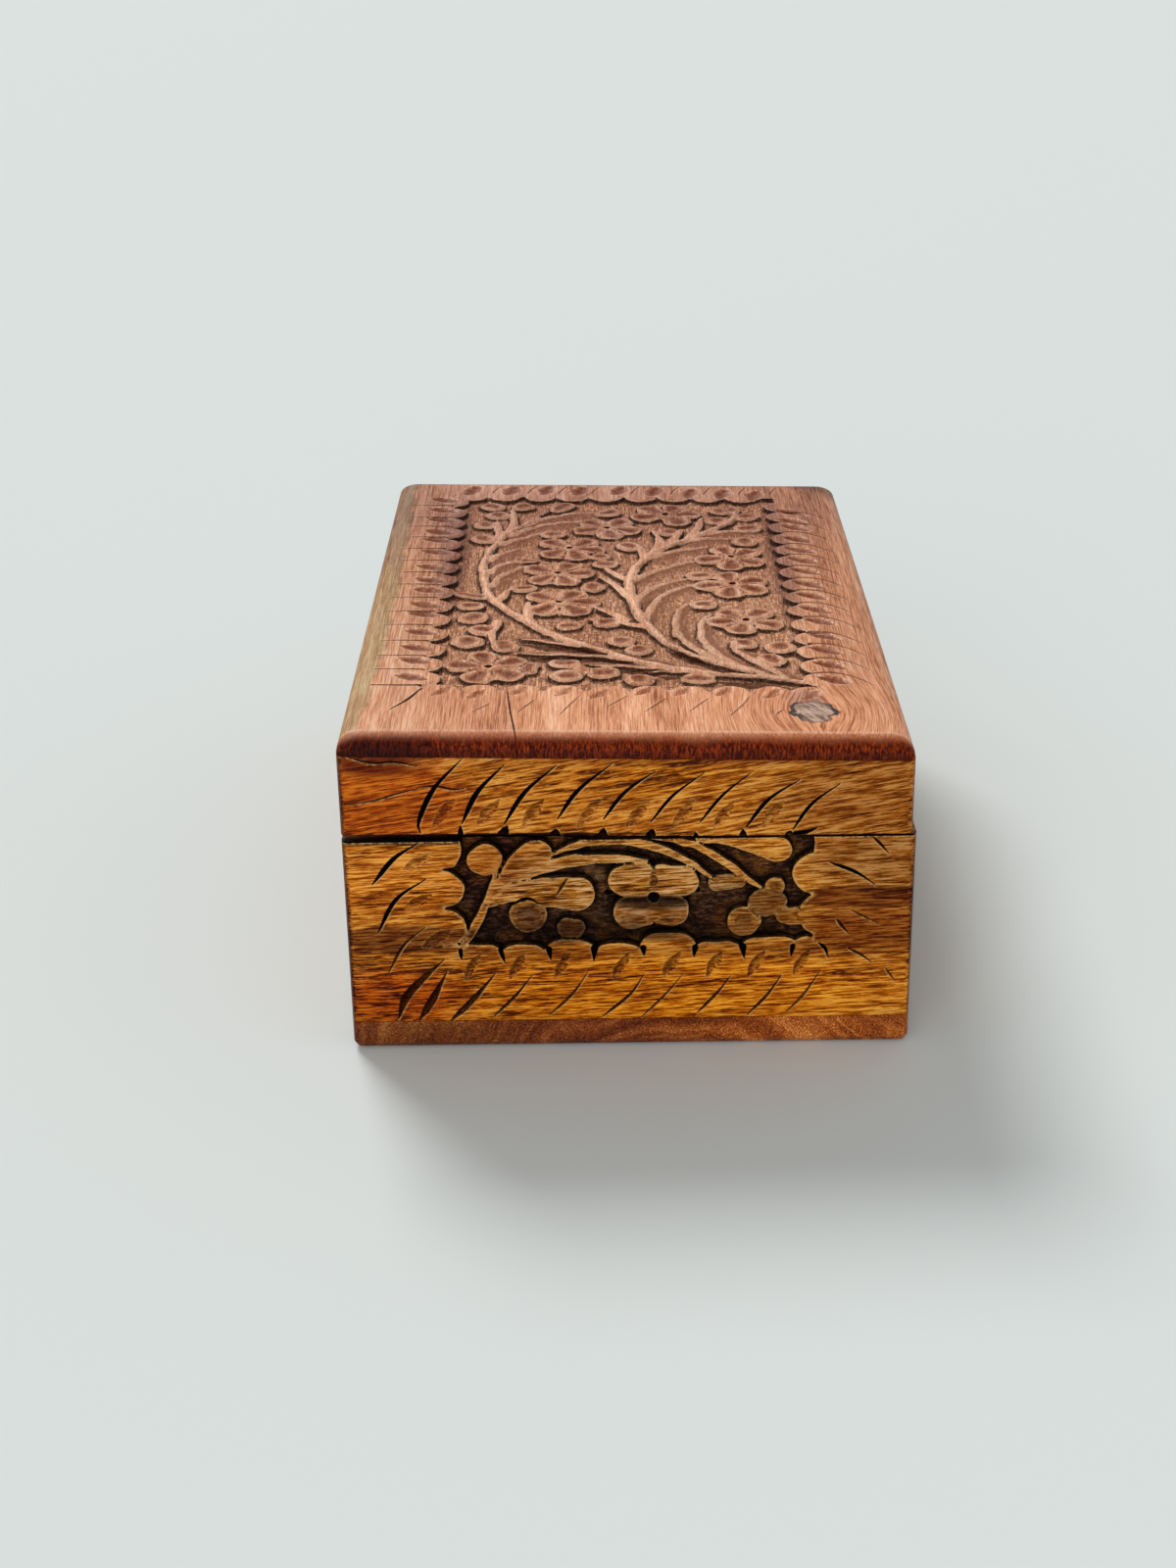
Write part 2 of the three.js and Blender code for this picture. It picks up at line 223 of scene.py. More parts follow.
def close_back(bm, thickness, shoulder=0.08):
    """Gives a sheet its edges and its back. A narrow shoulder comes first, and bears no marks."""
    for whole in (False, True):
        rim = [edge for edge in bm.edges if edge.is_boundary]
        for item in bmesh.ops.extrude_edge_only(bm, edges=rim)["geom"]:
            layers = bm.faces.layers
            if isinstance(item, bmesh.types.BMVert):
                item.co.z = -thickness if whole else item.co.z - shoulder
                layers = bm.verts.layers
            if not isinstance(item, bmesh.types.BMEdge):
                for mark in layers.float.values():
                    item[mark] = 0.0
    back_rim = [edge for edge in bm.edges if edge.is_boundary]
    bmesh.ops.edgeloop_fill(bm, edges=back_rim)
    bmesh.ops.recalc_face_normals(bm, faces=bm.faces)


sharp_angle = math.radians(32)


def board(name, place, low, high, thickness, rounds, cell, corner=None, relief=None, lean=None):
    """A closed board in millimetres. Its show face spans low to high at w = 0 and the wood lies
    behind it. rounds are the radii of the low u, high u, low v and high v edges. place turns
    (u, v, w) into the box's frame, where lean gives how far a point (x, y, z) has moved."""
    spread = math.pi / 2 - 1
    sheet_low = np.array(low) - (rounds[0] * spread, rounds[2] * spread)
    sheet_high = np.array(high) + (rounds[1] * spread, rounds[3] * spread)
    size = sheet_high - sheet_low
    middle = (sheet_low + sheet_high) / 2
    laid = facing((size[0] / 2, 0, 0), (0, size[1] / 2, 0), (0, 0, 1), (*middle, 0), unit=1)
    bm = bmesh.new()
    steps = np.maximum(np.round(size / cell), 2).astype(int)
    bmesh.ops.create_grid(bm, x_segments=steps[0], y_segments=steps[1], size=1, matrix=laid)
    height = 0.0
    marks = {}
    if relief:
        relief.refine(bm, cell)
        relief.draw(bm)
        height, marks = relief.carve(plan_of(bm.verts))
    at = plan_of(bm.verts)
    u, drop_u = fold(at[:, 0], low[0], high[0], rounds[0], rounds[1])
    v, drop_v = fold(at[:, 1], low[1], high[1], rounds[2], rounds[3])
    places = np.column_stack((u, v, height - np.maximum(drop_u, drop_v)))
    if corner:
        round_corners(places, low, high, corner)
    for vert, co in zip(bm.verts, places):
        vert.co = co
    for mark, values in marks.items():
        layer = bm.verts.layers.float.new(mark)
        for vert, value in zip(bm.verts, values):
            vert[layer] = value
    if relief:
        mark_walls(bm)
    close_back(bm, thickness)
    bmesh.ops.transform(bm, matrix=place, verts=bm.verts)
    if lean:
        for vert in bm.verts:
            vert.co += Vector(lean(*(vert.co / MM))) * MM
    for face in bm.faces:
        face.smooth = True
    mesh = bpy.data.meshes.new(name)
    bm.to_mesh(mesh)
    bm.free()
    mesh.set_sharp_from_angle(angle=sharp_angle)
    return set_down(name, mesh)


def new_group(name, inputs, outputs):
    """An empty shader node group, and the sockets that its input node gives. inputs and outputs
    hold the names of its sockets by their kind."""
    tree = bpy.data.node_groups.new(name, "ShaderNodeTree")
    for in_out, sockets in (("INPUT", inputs), ("OUTPUT", outputs)):
        for kind, labels in sockets.items():
            for label in labels:
                tree.interface.new_socket(label, in_out=in_out, socket_type=f"NodeSocket{kind}")
    return tree, tree.nodes.new("NodeGroupInput").outputs


def product(tree, first, *others):
    """Values multiplied together."""
    for other in others:
        first = maths(tree, "MULTIPLY", first, other)
    return first


def vector_maths(tree, operation, *vectors):
    """A step of arithmetic on vectors, which gives a value where it measures a length."""
    made = add_node(tree, "ShaderNodeVectorMath", dict(enumerate(vectors)), operation=operation)
    return made.outputs["Value" if operation == "LENGTH" else "Vector"]


def cloud(tree, vector, scales, detail, rough=0.5):
    """Cloudy noise of a vector, with its size along each axis set by scales per millimetre."""
    stretched = vector_maths(tree, "MULTIPLY", vector, scales)
    inputs = {"Vector": stretched, "Scale": 1.0, "Detail": detail, "Roughness": rough}
    return add_node(tree, "ShaderNodeTexNoise", inputs).outputs["Fac"]


def ramp(tree, value, low, high, to_low=0.0, to_high=1.0, smooth=True):
    """Turns a value between low and high into one between to_low and to_high."""
    inputs = {"Value": value, "From Min": low, "From Max": high, "To Min": to_low, "To Max": to_high}
    kind = "SMOOTHSTEP" if smooth else "LINEAR"
    return add_node(tree, "ShaderNodeMapRange", inputs, interpolation_type=kind).outputs["Result"]


def blend_colours(tree, share, first, second, kind="MIX"):
    """Lays a share of the second colour over the first."""
    colours = {0: share, 6: first, 7: second}
    return add_node(tree, "ShaderNodeMix", colours, data_type="RGBA", blend_type=kind).outputs[2]


def make_wood_figure():
    """Solid wood in millimetres with its grain along X and its heart on that axis: the yearly
    rings, the streaks of its fibres at two sizes, its pores, pale flecks and broad clouding."""
    labels = ("Rings", "Fibre", "Fine", "Pores", "Flecks", "Blotch", "Height")
    inputs = {"Vector": ("Vector",), "Float": ("Ring Spacing",)}
    tree, given = new_group("wood_figure", inputs, {"Float": labels})
    vector = given["Vector"]
    wander = cloud(tree, vector, (0.014, 0.06, 0.06), 2)
    ripple = cloud(tree, vector, (0.07, 0.35, 0.35), 3)
    from_heart = vector_maths(tree, "LENGTH", vector_maths(tree, "MULTIPLY", vector, (0, 1, 1)))
    from_heart = maths(tree, "MULTIPLY_ADD", wander, 16.0, from_heart)
    from_heart = maths(tree, "MULTIPLY_ADD", ripple, 2.2, from_heart)
    year = maths(tree, "DIVIDE", from_heart, given["Ring Spacing"])
    ring_inputs = {"W": year, "Scale": 1.0, "Detail": 5.0, "Roughness": 0.7}
    rings = add_node(tree, "ShaderNodeTexNoise", ring_inputs, noise_dimensions="1D").outputs["Fac"]
    fine = cloud(tree, vector, (0.3, 2.5, 2.5), 5, 0.7)
    pores = cloud(tree, vector, (0.3, 3.6, 3.6), 2)
    figure = {
        "Rings": ramp(tree, rings, 0.32, 0.68),
        "Fibre": ramp(tree, cloud(tree, vector, (0.07, 0.9, 0.9), 5, 0.7), 0.32, 0.68),
        "Fine": ramp(tree, fine, 0.39, 0.61),
        "Pores": ramp(tree, pores, 0.6, 0.68),
        "Flecks": ramp(tree, cloud(tree, vector, (0.5, 3.2, 3.2), 2), 0.6, 0.67),
        "Blotch": ramp(tree, cloud(tree, vector, (0.02, 0.045, 0.045), 3), 0.3, 0.7),
        "Height": maths(tree, "MULTIPLY_ADD", pores, -0.5, fine),
    }
    add_node(tree, "NodeGroupOutput", figure)
    return tree


def make_stain_patch():
    """A soft-edged, ragged patch round a place, as a mask."""
    inputs = {"Vector": ("Vector", "Place", "Size"), "Float": ("Softness",)}
    tree, given = new_group("stain_patch", inputs, {"Float": ("Mask",)})
    offset = vector_maths(tree, "SUBTRACT", given["Vector"], given["Place"])
    away = vector_maths(tree, "LENGTH", vector_maths(tree, "DIVIDE", offset, given["Size"]))
    ragged = maths(tree, "SUBTRACT", cloud(tree, given["Vector"], (0.22, 0.22, 0.4), 3), 0.5)
    away = maths(tree, "MULTIPLY_ADD", ragged, 0.5, away)
    near = maths(tree, "SUBTRACT", 1.0, given["Softness"])
    far = maths(tree, "ADD", 1.0, given["Softness"])
    add_node(tree, "NodeGroupOutput", {"Mask": ramp(tree, away, near, far, 1.0, 0.0)})
    return tree


def make_knot():
    """A knot: the grain's place bent round it, how far a point is inside it, its dark rim and
    the slanting lines in it."""
    inputs = {"Vector": ("Vector", "Place", "Size")}
    tree, given = new_group("knot", inputs, {"Vector": ("Bent",), "Float": ("Inside", "Rim", "Lines")})
    vector = given["Vector"]
    offset = vector_maths(tree, "SUBTRACT", vector, given["Place"])
    scaled = vector_maths(tree, "DIVIDE", offset, given["Size"])
    away = vector_maths(tree, "LENGTH", scaled)
    pull = maths(tree, "EXPONENT", product(tree, away, away, -0.16))
    across = vector_maths(tree, "MULTIPLY", offset, (0.0, -0.85, 0.0))
    ragged = maths(tree, "SUBTRACT", cloud(tree, vector, (0.32, 0.32, 0.32), 3), 0.5)
    edge = maths(tree, "MULTIPLY_ADD", ragged, 1.1, away)
    sideways = add_node(tree, "ShaderNodeSeparateXYZ", {0: scaled}).outputs["Y"]
    at_ends = ramp(tree, maths(tree, "ABSOLUTE", sideways), 0.35, 0.8, 0.35, 1.0)
    rim = product(tree, ramp(tree, edge, 0.78, 0.9), ramp(tree, edge, 0.98, 1.12, 1.0, 0.0), at_ends)
    slanted = add_node(tree, "ShaderNodeMapping", {"Vector": vector, "Rotation": (0, 0, 0.9)}).outputs[0]
    figure = {
        "Bent": vector_maths(tree, "MULTIPLY_ADD", across, pull, vector),
        "Inside": ramp(tree, edge, 0.85, 1.05, 1.0, 0.0),
        "Rim": rim,
        "Lines": ramp(tree, cloud(tree, slanted, (1.3, 0.25, 1.0), 4, 0.7), 0.42, 0.58),
    }
    add_node(tree, "NodeGroupOutput", figure)
    return tree


wood_figure = make_wood_figure()
knot_figure = make_knot()
stain_patch = make_stain_patch()


def colour_ramp(tree, value, colours):
    """Colours spread evenly over a value from 0 to 1."""
    made = add_node(tree, "ShaderNodeValToRGB", {"Fac": value})
    stops = made.color_ramp.elements
    while len(stops) < len(colours):
        stops.new(0.5)
    for number, colour in enumerate(colours):
        stops[number].position = number / (len(colours) - 1)
        stops[number].color = colour
    return made.outputs["Color"]


def stained(tree, place, colour, patches):
    """Tints a colour in patches, each (tint, place, size, strength, softness)."""
    for tint, where, size, strength, softness in patches:
        inputs = {"Vector": place, "Place": where, "Size": size, "Softness": softness}
        patch = add_node(tree, "ShaderNodeGroup", inputs, node_tree=stain_patch)
        share = product(tree, patch.outputs["Mask"], strength)
        colour = blend_colours(tree, share, colour, (*tint, 1.0), "MULTIPLY")
    return colour


def in_millimetres(tree):
    """A point's place on the piece."""
    place = add_node(tree, "ShaderNodeTexCoord").outputs["Object"]
    return vector_maths(tree, "MULTIPLY", place, (1 / MM, 1 / MM, 1 / MM))


def dress(tree, shader, colour, roughness, height, depth, strength):
    """Gives a shader its colour, its roughness and the small bumps of a height."""
    tree.links.new(colour, shader.inputs["Base Color"])
    tree.links.new(roughness, shader.inputs["Roughness"])
    bump = add_node(tree, "ShaderNodeBump", {"Height": height, "Distance": depth, "Strength": strength})
    tree.links.new(bump.outputs["Normal"], shader.inputs["Normal"])


def wood(
    name, turn, heart, colours, shares, ring_spacing, rough, *, grain=(0.7, 1.15, 1.15), grain_depth=0.5,
    fleck_share=0.4, shine=0.3, patches=(), carved=None, stains_and_shade=(), knot=None,
):
    """A wood finish. turn lays the grain along X and heart is the tree's middle, in millimetres.
    colours run from the darkest wood to the palest, and shares are how far the rings, fibres,
    fine streaks and clouding move the tone. grain is how much closer it runs along and across.
    Each patch is (tint, place, size, strength, softness). Patches, some of them painted light and
    shade, lie under the marks that carved adds, and stains_and_shade are patches over them, of
    stain and painted shade. A knot is a place and a size."""
    material, tree, shader = new_material(name)
    place = in_millimetres(tree)
    grain_place = place
    if knot:
        knot_inputs = {"Vector": place, "Place": knot[0], "Size": knot[1]}
        at_knot = add_node(tree, "ShaderNodeGroup", knot_inputs, node_tree=knot_figure).outputs
        grain_place = at_knot["Bent"]
    turned = add_node(tree, "ShaderNodeMapping", {"Vector": grain_place, "Rotation": turn}).outputs[0]
    moved = vector_maths(tree, "MULTIPLY", vector_maths(tree, "SUBTRACT", turned, heart), grain)
    figure_inputs = {"Vector": moved, "Ring Spacing": ring_spacing}
    figure = add_node(tree, "ShaderNodeGroup", figure_inputs, node_tree=wood_figure).outputs
    tone = 0.5 - sum(shares) / 2
    for label, share in zip(("Rings", "Fibre", "Fine", "Blotch"), shares):
        tone = maths(tree, "MULTIPLY_ADD", figure[label], share, tone)
    colour = colour_ramp(tree, tone, colours)
    colour = blend_colours(tree, product(tree, figure["Pores"], 0.5), colour, colours[0])
    colour = blend_colours(tree, product(tree, figure["Flecks"], fleck_share), colour, colours[-1])
    colour = stained(tree, place, colour, patches)
    if knot:
        grey = blend_colours(tree, at_knot["Lines"], shade(104, 84, 76), shade(198, 168, 150))
        colour = blend_colours(tree, product(tree, at_knot["Inside"], 0.9), colour, grey)
        colour = blend_colours(tree, at_knot["Rim"], colour, shade(52, 42, 42))
    height = product(tree, figure["Height"], grain_depth)
    roughness = ramp(tree, figure["Fibre"], 0, 1, rough + 0.08, rough - 0.06, smooth=False)
    if carved:
        colour, roughness, height = carved(tree, place, moved, colour, roughness, height)
    colour = stained(tree, place, colour, stains_and_shade)
    shader.inputs["Specular IOR Level"].default_value = shine
    dress(tree, shader, colour, roughness, height, 0.12 * MM, 0.8)
    return material


def finish_piece(piece, material, body, node):
    """Gives a piece its finish and hands it to the frame."""
    piece.data.materials.append(material)
    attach(piece, body)
    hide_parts(node)


box_length = 152.0
box_width = 100.0
bottom_low, bottom_high = (corner * 1000 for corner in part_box("bottom_board"))
bottom_thickness = bottom_high.z - bottom_low.z
bottom_board = board(
    "bottom_board_wood",
    facing((1, 0, 0), (0, -1, 0), (0, 0, -1), (0, 0, 0)),
    (-box_length / 2, -box_width / 2),
    (box_length / 2, box_width / 2),
    bottom_thickness,
    (1.2, 1.2, 1.2, 1.2),
    1.5,
    corner=(1.0, 1.0),
)
bottom_finish = wood(
    "bottom_board_finish",
    (0, 0, 0),
    (0, 10, -26),
    (shade(60, 16, 0), shade(112, 46, 10), shade(136, 66, 24), shade(190, 118, 70)),
    (0.4, 0.25, 0.55, 0.35),
    3.2,
    0.42,
    patches=(
        ((0.8, 0.95, 0.7), (76, -36, 2), (20, 14, 6), 0.7, 0.5),
        ((1.9, 2.1, 1.4), (76, 34, 2), (20, 26, 6), 0.8, 0.6),
    ),
    shine=0.15,
)
finish_piece(bottom_board, bottom_finish, "base", "bottom_board")

# Right end wall of the base.
# A board of golden hardwood across the whole width, which carries the end's carving: a sunk
# panel with a vine and a flower, lobes round it and a border of knife cuts and gouges.
# It is carved first, then varnished and glued to the long walls.


class Stroke:
    """A tapered line of the carver's tool. Its points are joined by a smooth curve and its
    half-widths are spread evenly along it."""

    def __init__(self, points, halves, level=0.0, slope=0.0, sag=0.0, creased=False, hand=1, step=1.2):
        points = np.array(points, float)
        if len(points) == 1:
            points = np.vstack((points, points + (0.01, 0)))
        ends = np.vstack((2 * points[0] - points[1], points, 2 * points[-1] - points[-2]))
        curve = []
        for i in range(len(points) - 1):
            before, start, end, after = ends[i : i + 4]
            steps = max(2, int(np.linalg.norm(end - start) / step))
            for t in np.arange(steps) / steps:
                swing = (end - before) * t + (2 * before - 5 * start + 4 * end - after) * t**2
                swing += (3 * start - before - 3 * end + after) * t**3
                curve.append(start + swing / 2)
        curve.append(points[-1])
        self.path = np.array(curve)
        run = np.linalg.norm(np.diff(self.path, axis=0), axis=1)
        gone = np.concatenate(([0], np.cumsum(run))) / run.sum()
        self.halves = np.interp(gone, np.linspace(0, 1, len(halves)), halves)
        self.level = level
        self.slope = slope
        self.sag = sag
        self.creased = creased
        self.flat = not (level or slope or sag or creased)
        self.hand = hand
        self.low = self.path.min(axis=0) - self.halves.max()
        self.high = self.path.max(axis=0) + self.halves.max()

    def measure(self, at, margin):
        """Which points lie near, how far inside the outline they are, the way to the middle
        line, the side that they are on and the half-width there."""
        near = np.flatnonzero(((at > self.low - margin) & (at < self.high + margin)).all(axis=1))
        if not len(near):
            return None
        start = self.path[:-1]
        run = np.diff(self.path, axis=0)
        offset = at[near][:, None, :] - start
        share = np.clip((offset * run).sum(-1) / (run**2).sum(-1), 0, 1)
        gap = offset - share[..., None] * run
        away = np.sqrt((gap**2).sum(-1))
        half = self.halves[:-1] + share * np.diff(self.halves)
        best = (half - away).argmax(axis=1)
        row = np.arange(len(near))
        gap = gap[row, best]
        away = away[row, best]
        half = half[row, best]
        side = self.hand * (run[best, 0] * gap[:, 1] - run[best, 1] * gap[:, 0])
        inward = -gap / np.maximum(away, 1e-6)[:, None]
        return near, half - away, inward, side, half


def lattice_noise(at, size, seed):
    """Smooth seeded noise between -1 and 1 on a face, with features of the given sizes."""
    count = 64
    off_edge = 200
    grid = np.random.default_rng(seed).uniform(-1, 1, (count, count))
    spot = at / np.array(size) + off_edge
    cell = np.floor(spot).astype(int)
    part = spot - cell
    part = part * part * (3 - 2 * part)
    u0, v0 = (cell % count).T
    u1, v1 = ((cell + 1) % count).T
    low = grid[u0, v0] * (1 - part[:, 0]) + grid[u1, v0] * part[:, 0]
    high = grid[u0, v1] * (1 - part[:, 0]) + grid[u1, v1] * part[:, 0]
    return low * (1 - part[:, 1]) + high * part[:, 1]


def split_where(bm, label):
    """Cuts the sheet's faces along the lines where the label of its points changes. Points with
    a negative label are passed over. Where a line passes close to a point, it runs through it."""
    halvings = 6
    close = 0.08
    bm.verts.index_update()
    at = plan_of(bm.verts)
    labels = label(at)
    edges = list(bm.edges)
    ends = np.array([[vert.index for vert in edge.verts] for edge in edges])
    differ = (labels[ends[:, 0]] != labels[ends[:, 1]]) & (labels[ends] >= 0).all(axis=1)
    across = np.flatnonzero(differ)
    start = at[ends[across, 0]]
    run = at[ends[across, 1]] - start
    known = labels[ends[across, 0]]
    low = np.zeros(len(across))
    high = np.ones(len(across))
    for _ in range(halvings):
        middle = (low + high) / 2
        same = label(start + run * middle[:, None]) == known
        low = np.where(same, middle, low)
        high = np.where(same, high, middle)
    on_line = []
    for number, share in zip(across, (low + high) / 2):
        edge = edges[number]
        if close <= share <= 1 - close:
            on_line.append(bmesh.utils.edge_split(edge, edge.verts[0], share)[1])
        else:
            on_line.append(edge.verts[int(share > 0.5)])
    bmesh.ops.connect_verts(bm, verts=list(dict.fromkeys(on_line)))
    many_sided = [face for face in bm.faces if len(face.verts) > 4]
    bmesh.ops.triangulate(bm, faces=many_sided, quad_method="BEAUTY", ngon_method="BEAUTY")


def way_to(turn):
    """The direction on a face that lies at a turn in degrees."""
    return np.array((math.cos(math.radians(turn)), math.sin(math.radians(turn))))


class Relief:
    """The carving of one face: a sunk field, the motifs left standing in it, and the gouges
    and knife cuts over both. field is its low and high corner, in millimetres. manner changes
    the carver's usual measures, which follow."""

    # Millimetres, apart from crease and worn_lip_and_highlight, dish and stain_and_shade, which are
    # shares. crease is how much painted shade falls in the creases between petals,
    # worn_lip_and_highlight how pale a gouge's lip is from wear and painted highlight, and
    # stain_and_shade how dark its hollow is from stain and painted shade.
    wall = 0.3
    edge_roll = 0.4
    roll_drop = 0.14
    foot_width = 0.9
    slack = 0.06
    crease = 0.75
    worn_lip_and_highlight = 0.3
    wobble = 0.05
    tremor = 0.2
    dish = 0.55
    stain_and_shade = 0.95
    crease_depth = 0.3
    recess_edge = 0.08
    out_of_reach = 99.0

    def __init__(self, field, depth, seed, levels=2, **manner):
        for measure, value in manner.items():
            setattr(self, measure, value)
        self.field = field
        self.depth = depth
        self.seed = seed
        self.levels = levels
        self.raised = []
        self.scoops = []
        self.cuts = []
        self.recesses = []
        self.shift = 0.0
        self.flip = 1

    def stroke(self, points, halves, **form):
        """A stroke where the carver has moved on by shift, or mirrored the pattern."""
        points = np.array(points, float)
        points[:, 0] = self.flip * (points[:, 0] + self.shift)
        return Stroke(points, halves, hand=self.flip, **form)

    def stem(self, points, halves, level=0.0, slope=0.0, sag=0.0, creased=False):
        """A motif left standing. slope is how far one side runs down, and sag how deep it dips."""
        self.raised.append(self.stroke(points, halves, level=level, slope=slope, sag=sag, creased=creased))

    def scoop(self, points, halves, depth, darkness=0.95):
        """A gouged hollow, stained by darkness, with painted shade deeper on its upper side."""
        self.scoops.append(self.stroke(points, halves, level=depth, slope=darkness))

    def cut(self, points, halves, depth, darkness=1.0):
        """A knife cut, darkened by dirt and painted shade."""
        self.cuts.append(self.stroke(points, halves, level=depth, slope=darkness, step=0.6))

    def leaf(self, middle, length, width, turn, dimple=0.45, level=-0.1):
        """An oval bud or leaf with a gouged hollow, its long way turned in degrees."""
        middle = np.array(middle, float)
        way = way_to(turn)
        half = width / 2
        spine = max(length / 2 - half, 0.05)
        self.stem((middle - way * spine, middle + way * spine), (half, half * 0.96), level, creased=True)
        if dimple:
            reach = spine + half * 0.12
            wide = half * self.dish
            self.scoop((middle - way * reach, middle + way * reach), (wide * 0.9, wide), dimple, self.stain_and_shade)

    def flower(self, middle, radius, turns, petal=0.34, level=-0.05):
        """Petals round a punched middle, each with a gouged hollow."""
        middle = np.array(middle, float)
        for turn in turns:
            way = way_to(turn)
            wide = radius * petal
            petal_run = (middle + way * radius * 0.15, middle + way * (radius - wide))
            self.stem(petal_run, (wide * 0.5, wide), level, creased=True)
            self.scoop(
                (middle + way * radius * 0.38, middle + way * radius * 0.72),
                (wide * self.dish * 0.6, wide * self.dish),
                0.75,
                self.stain_and_shade,
            )
        self.stem((middle,), (radius * 0.4, radius * 0.4), level, creased=True)
        self.cut((middle,), (radius * 0.09, radius * 0.09), 0.9)

    def by_hand(self, at):
        """Where on the drawing a point of the face lies, as the carver's hand followed it."""
        sway = [lattice_noise(at, (1.9, 1.9), self.seed + number) for number in (3, 4)]
        return at + self.tremor * np.column_stack(sway)

    def field_inside(self, at):
        """How far a point lies inside the raised frame round the sunk field."""
        if not self.field:
            return np.full(len(at), self.out_of_reach)
        low, high = np.array(self.field[0]), np.array(self.field[1])
        return -np.minimum(at - low, high - at).min(axis=1)

    def inside_of(self, at, strokes, margin, found):
        """How far each point lies inside the strokes' joint outline, at least found."""
        for stroke in strokes:
            read = stroke.measure(at, margin)
            if read:
                near, inside = read[:2]
                found[near] = np.maximum(found[near], inside)
        return found

    def standing(self, at):
        """How far a point lies inside the frame or a motif, as carved."""
        at = self.by_hand(at)
        return self.inside_of(at, self.raised, 1.0, self.field_inside(at))

    def recess_inside(self, at, recess):
        """How far a point lies inside an oblong recess, (low corner, high corner, depth)."""
        low, high = np.array(recess[0]), np.array(recess[1])
        return np.minimum(at - low, high - at).min(axis=1)

    def refine(self, bm, cell):
        """Splits the sheet's faces in the field and near every outline, and again near the
        gouges and knife cuts where levels asks for it."""
        for level in range(self.levels):
            faces = [face for face in bm.faces if len(face.verts) == 4]
            at = np.array([face.calc_center_median()[:2] for face in faces])
            reach = cell / 2**level
            found = np.full(len(at), -self.out_of_reach)
            if level == 0:
                found = self.inside_of(at, self.raised, reach, -np.abs(self.field_inside(at)))
            found = self.inside_of(at, self.scoops + self.cuts, reach, found)
            wanted = found > -0.9 * reach
            if level == 0:
                wanted |= self.field_inside(at) < reach
            edges = [edge for face, split in zip(faces, wanted) if split for edge in face.edges]
            bmesh.ops.subdivide_edges(bm, edges=list(dict.fromkeys(edges)), cuts=1, use_grid_fill=True)

    def cut_side(self, at):
        """Which side of a knife cut's middle line a point beside it lies on."""
        label = np.full(len(at), -1)
        best = np.full(len(at), -0.4)
        for stroke in self.cuts:
            read = stroke.measure(at, 0.5)
            if read:
                near, inside, _, side, _ = read
                closer = inside > best[near]
                best[near[closer]] = inside[closer]
                label[near[closer]] = side[closer] > 0
        return label

    def owner(self, at):
        """Which petal or leaf a point inside two of them belongs to."""
        _, second, number = self.two_deepest(self.by_hand(at))
        return np.where(second > 0, number, -1)

    def two_deepest(self, at):
        """How far a point lies inside the petals or leaves that hold it most, and which one."""
        first = np.full(len(at), -self.out_of_reach)
        second = np.full(len(at), -self.out_of_reach)
        number = np.full(len(at), -1)
        for count, stroke in enumerate(self.raised):
            read = stroke.measure(at, 0.0) if stroke.creased else None
            if read:
                near, inside = read[:2]
                second[near] = np.maximum(second[near], np.minimum(first[near], inside))
                closer = inside > first[near]
                number[near[closer]] = count
                first[near] = np.maximum(first[near], inside)
        return first, second, number

    def draw(self, bm):
        """Draws the outlines into the sheet, so that its edges run along them."""
        for recess in self.recesses:
            for line in (0.0, self.recess_edge):
                split_where(bm, lambda at: (self.recess_inside(at, recess) > line).astype(int))
        if self.raised:
            for line in (0.0, -self.wall):
                split_where(bm, lambda at: (self.standing(at) > line).astype(int))
            split_where(bm, self.owner)
        split_where(bm, lambda at: self.within(self.by_hand(at), self.scoops, 0.0))
        split_where(bm, self.cut_side)
        for line in (0.0, -0.1):
            split_where(bm, lambda at: self.within(at, self.cuts, line))

    def within(self, at, strokes, line):
        """1 where a point lies further inside the strokes than the line, else 0."""
        outside = np.full(len(at), -self.out_of_reach)
        return (self.inside_of(at, strokes, 0.5, outside) > line).astype(int)

    def ground(self, at):
        """The height of the sunk ground, uneven from the chisel."""
        chisel = 0.2 * lattice_noise(at, (0.8, 1.4), self.seed)
        chisel += 0.15 * lattice_noise(at, (2.2, 3.1), self.seed + 1)
        return chisel - self.depth

    def edge(self, inside, top, ground, fall):
        """The height across an outline: rolled over at the top, then down a wall fall wide."""
        rolled = top - self.roll_drop * np.clip(1 - inside / self.edge_roll, 0, 1) ** 2
        return rolled + (ground - rolled) * np.clip((-inside - self.slack) / (fall - 2 * self.slack), 0, 1)

    def shadow(self, inside, steep):
        """How much painted shadow a point on the ground gets, by how close it is to the foot of a
        steep wall.
        """
        at_foot = np.clip((-inside - self.slack) / (self.wall - 2 * self.slack), 0, 1)
        return at_foot * np.clip(1 + (inside + self.wall) / self.foot_width, 0, 1) * steep

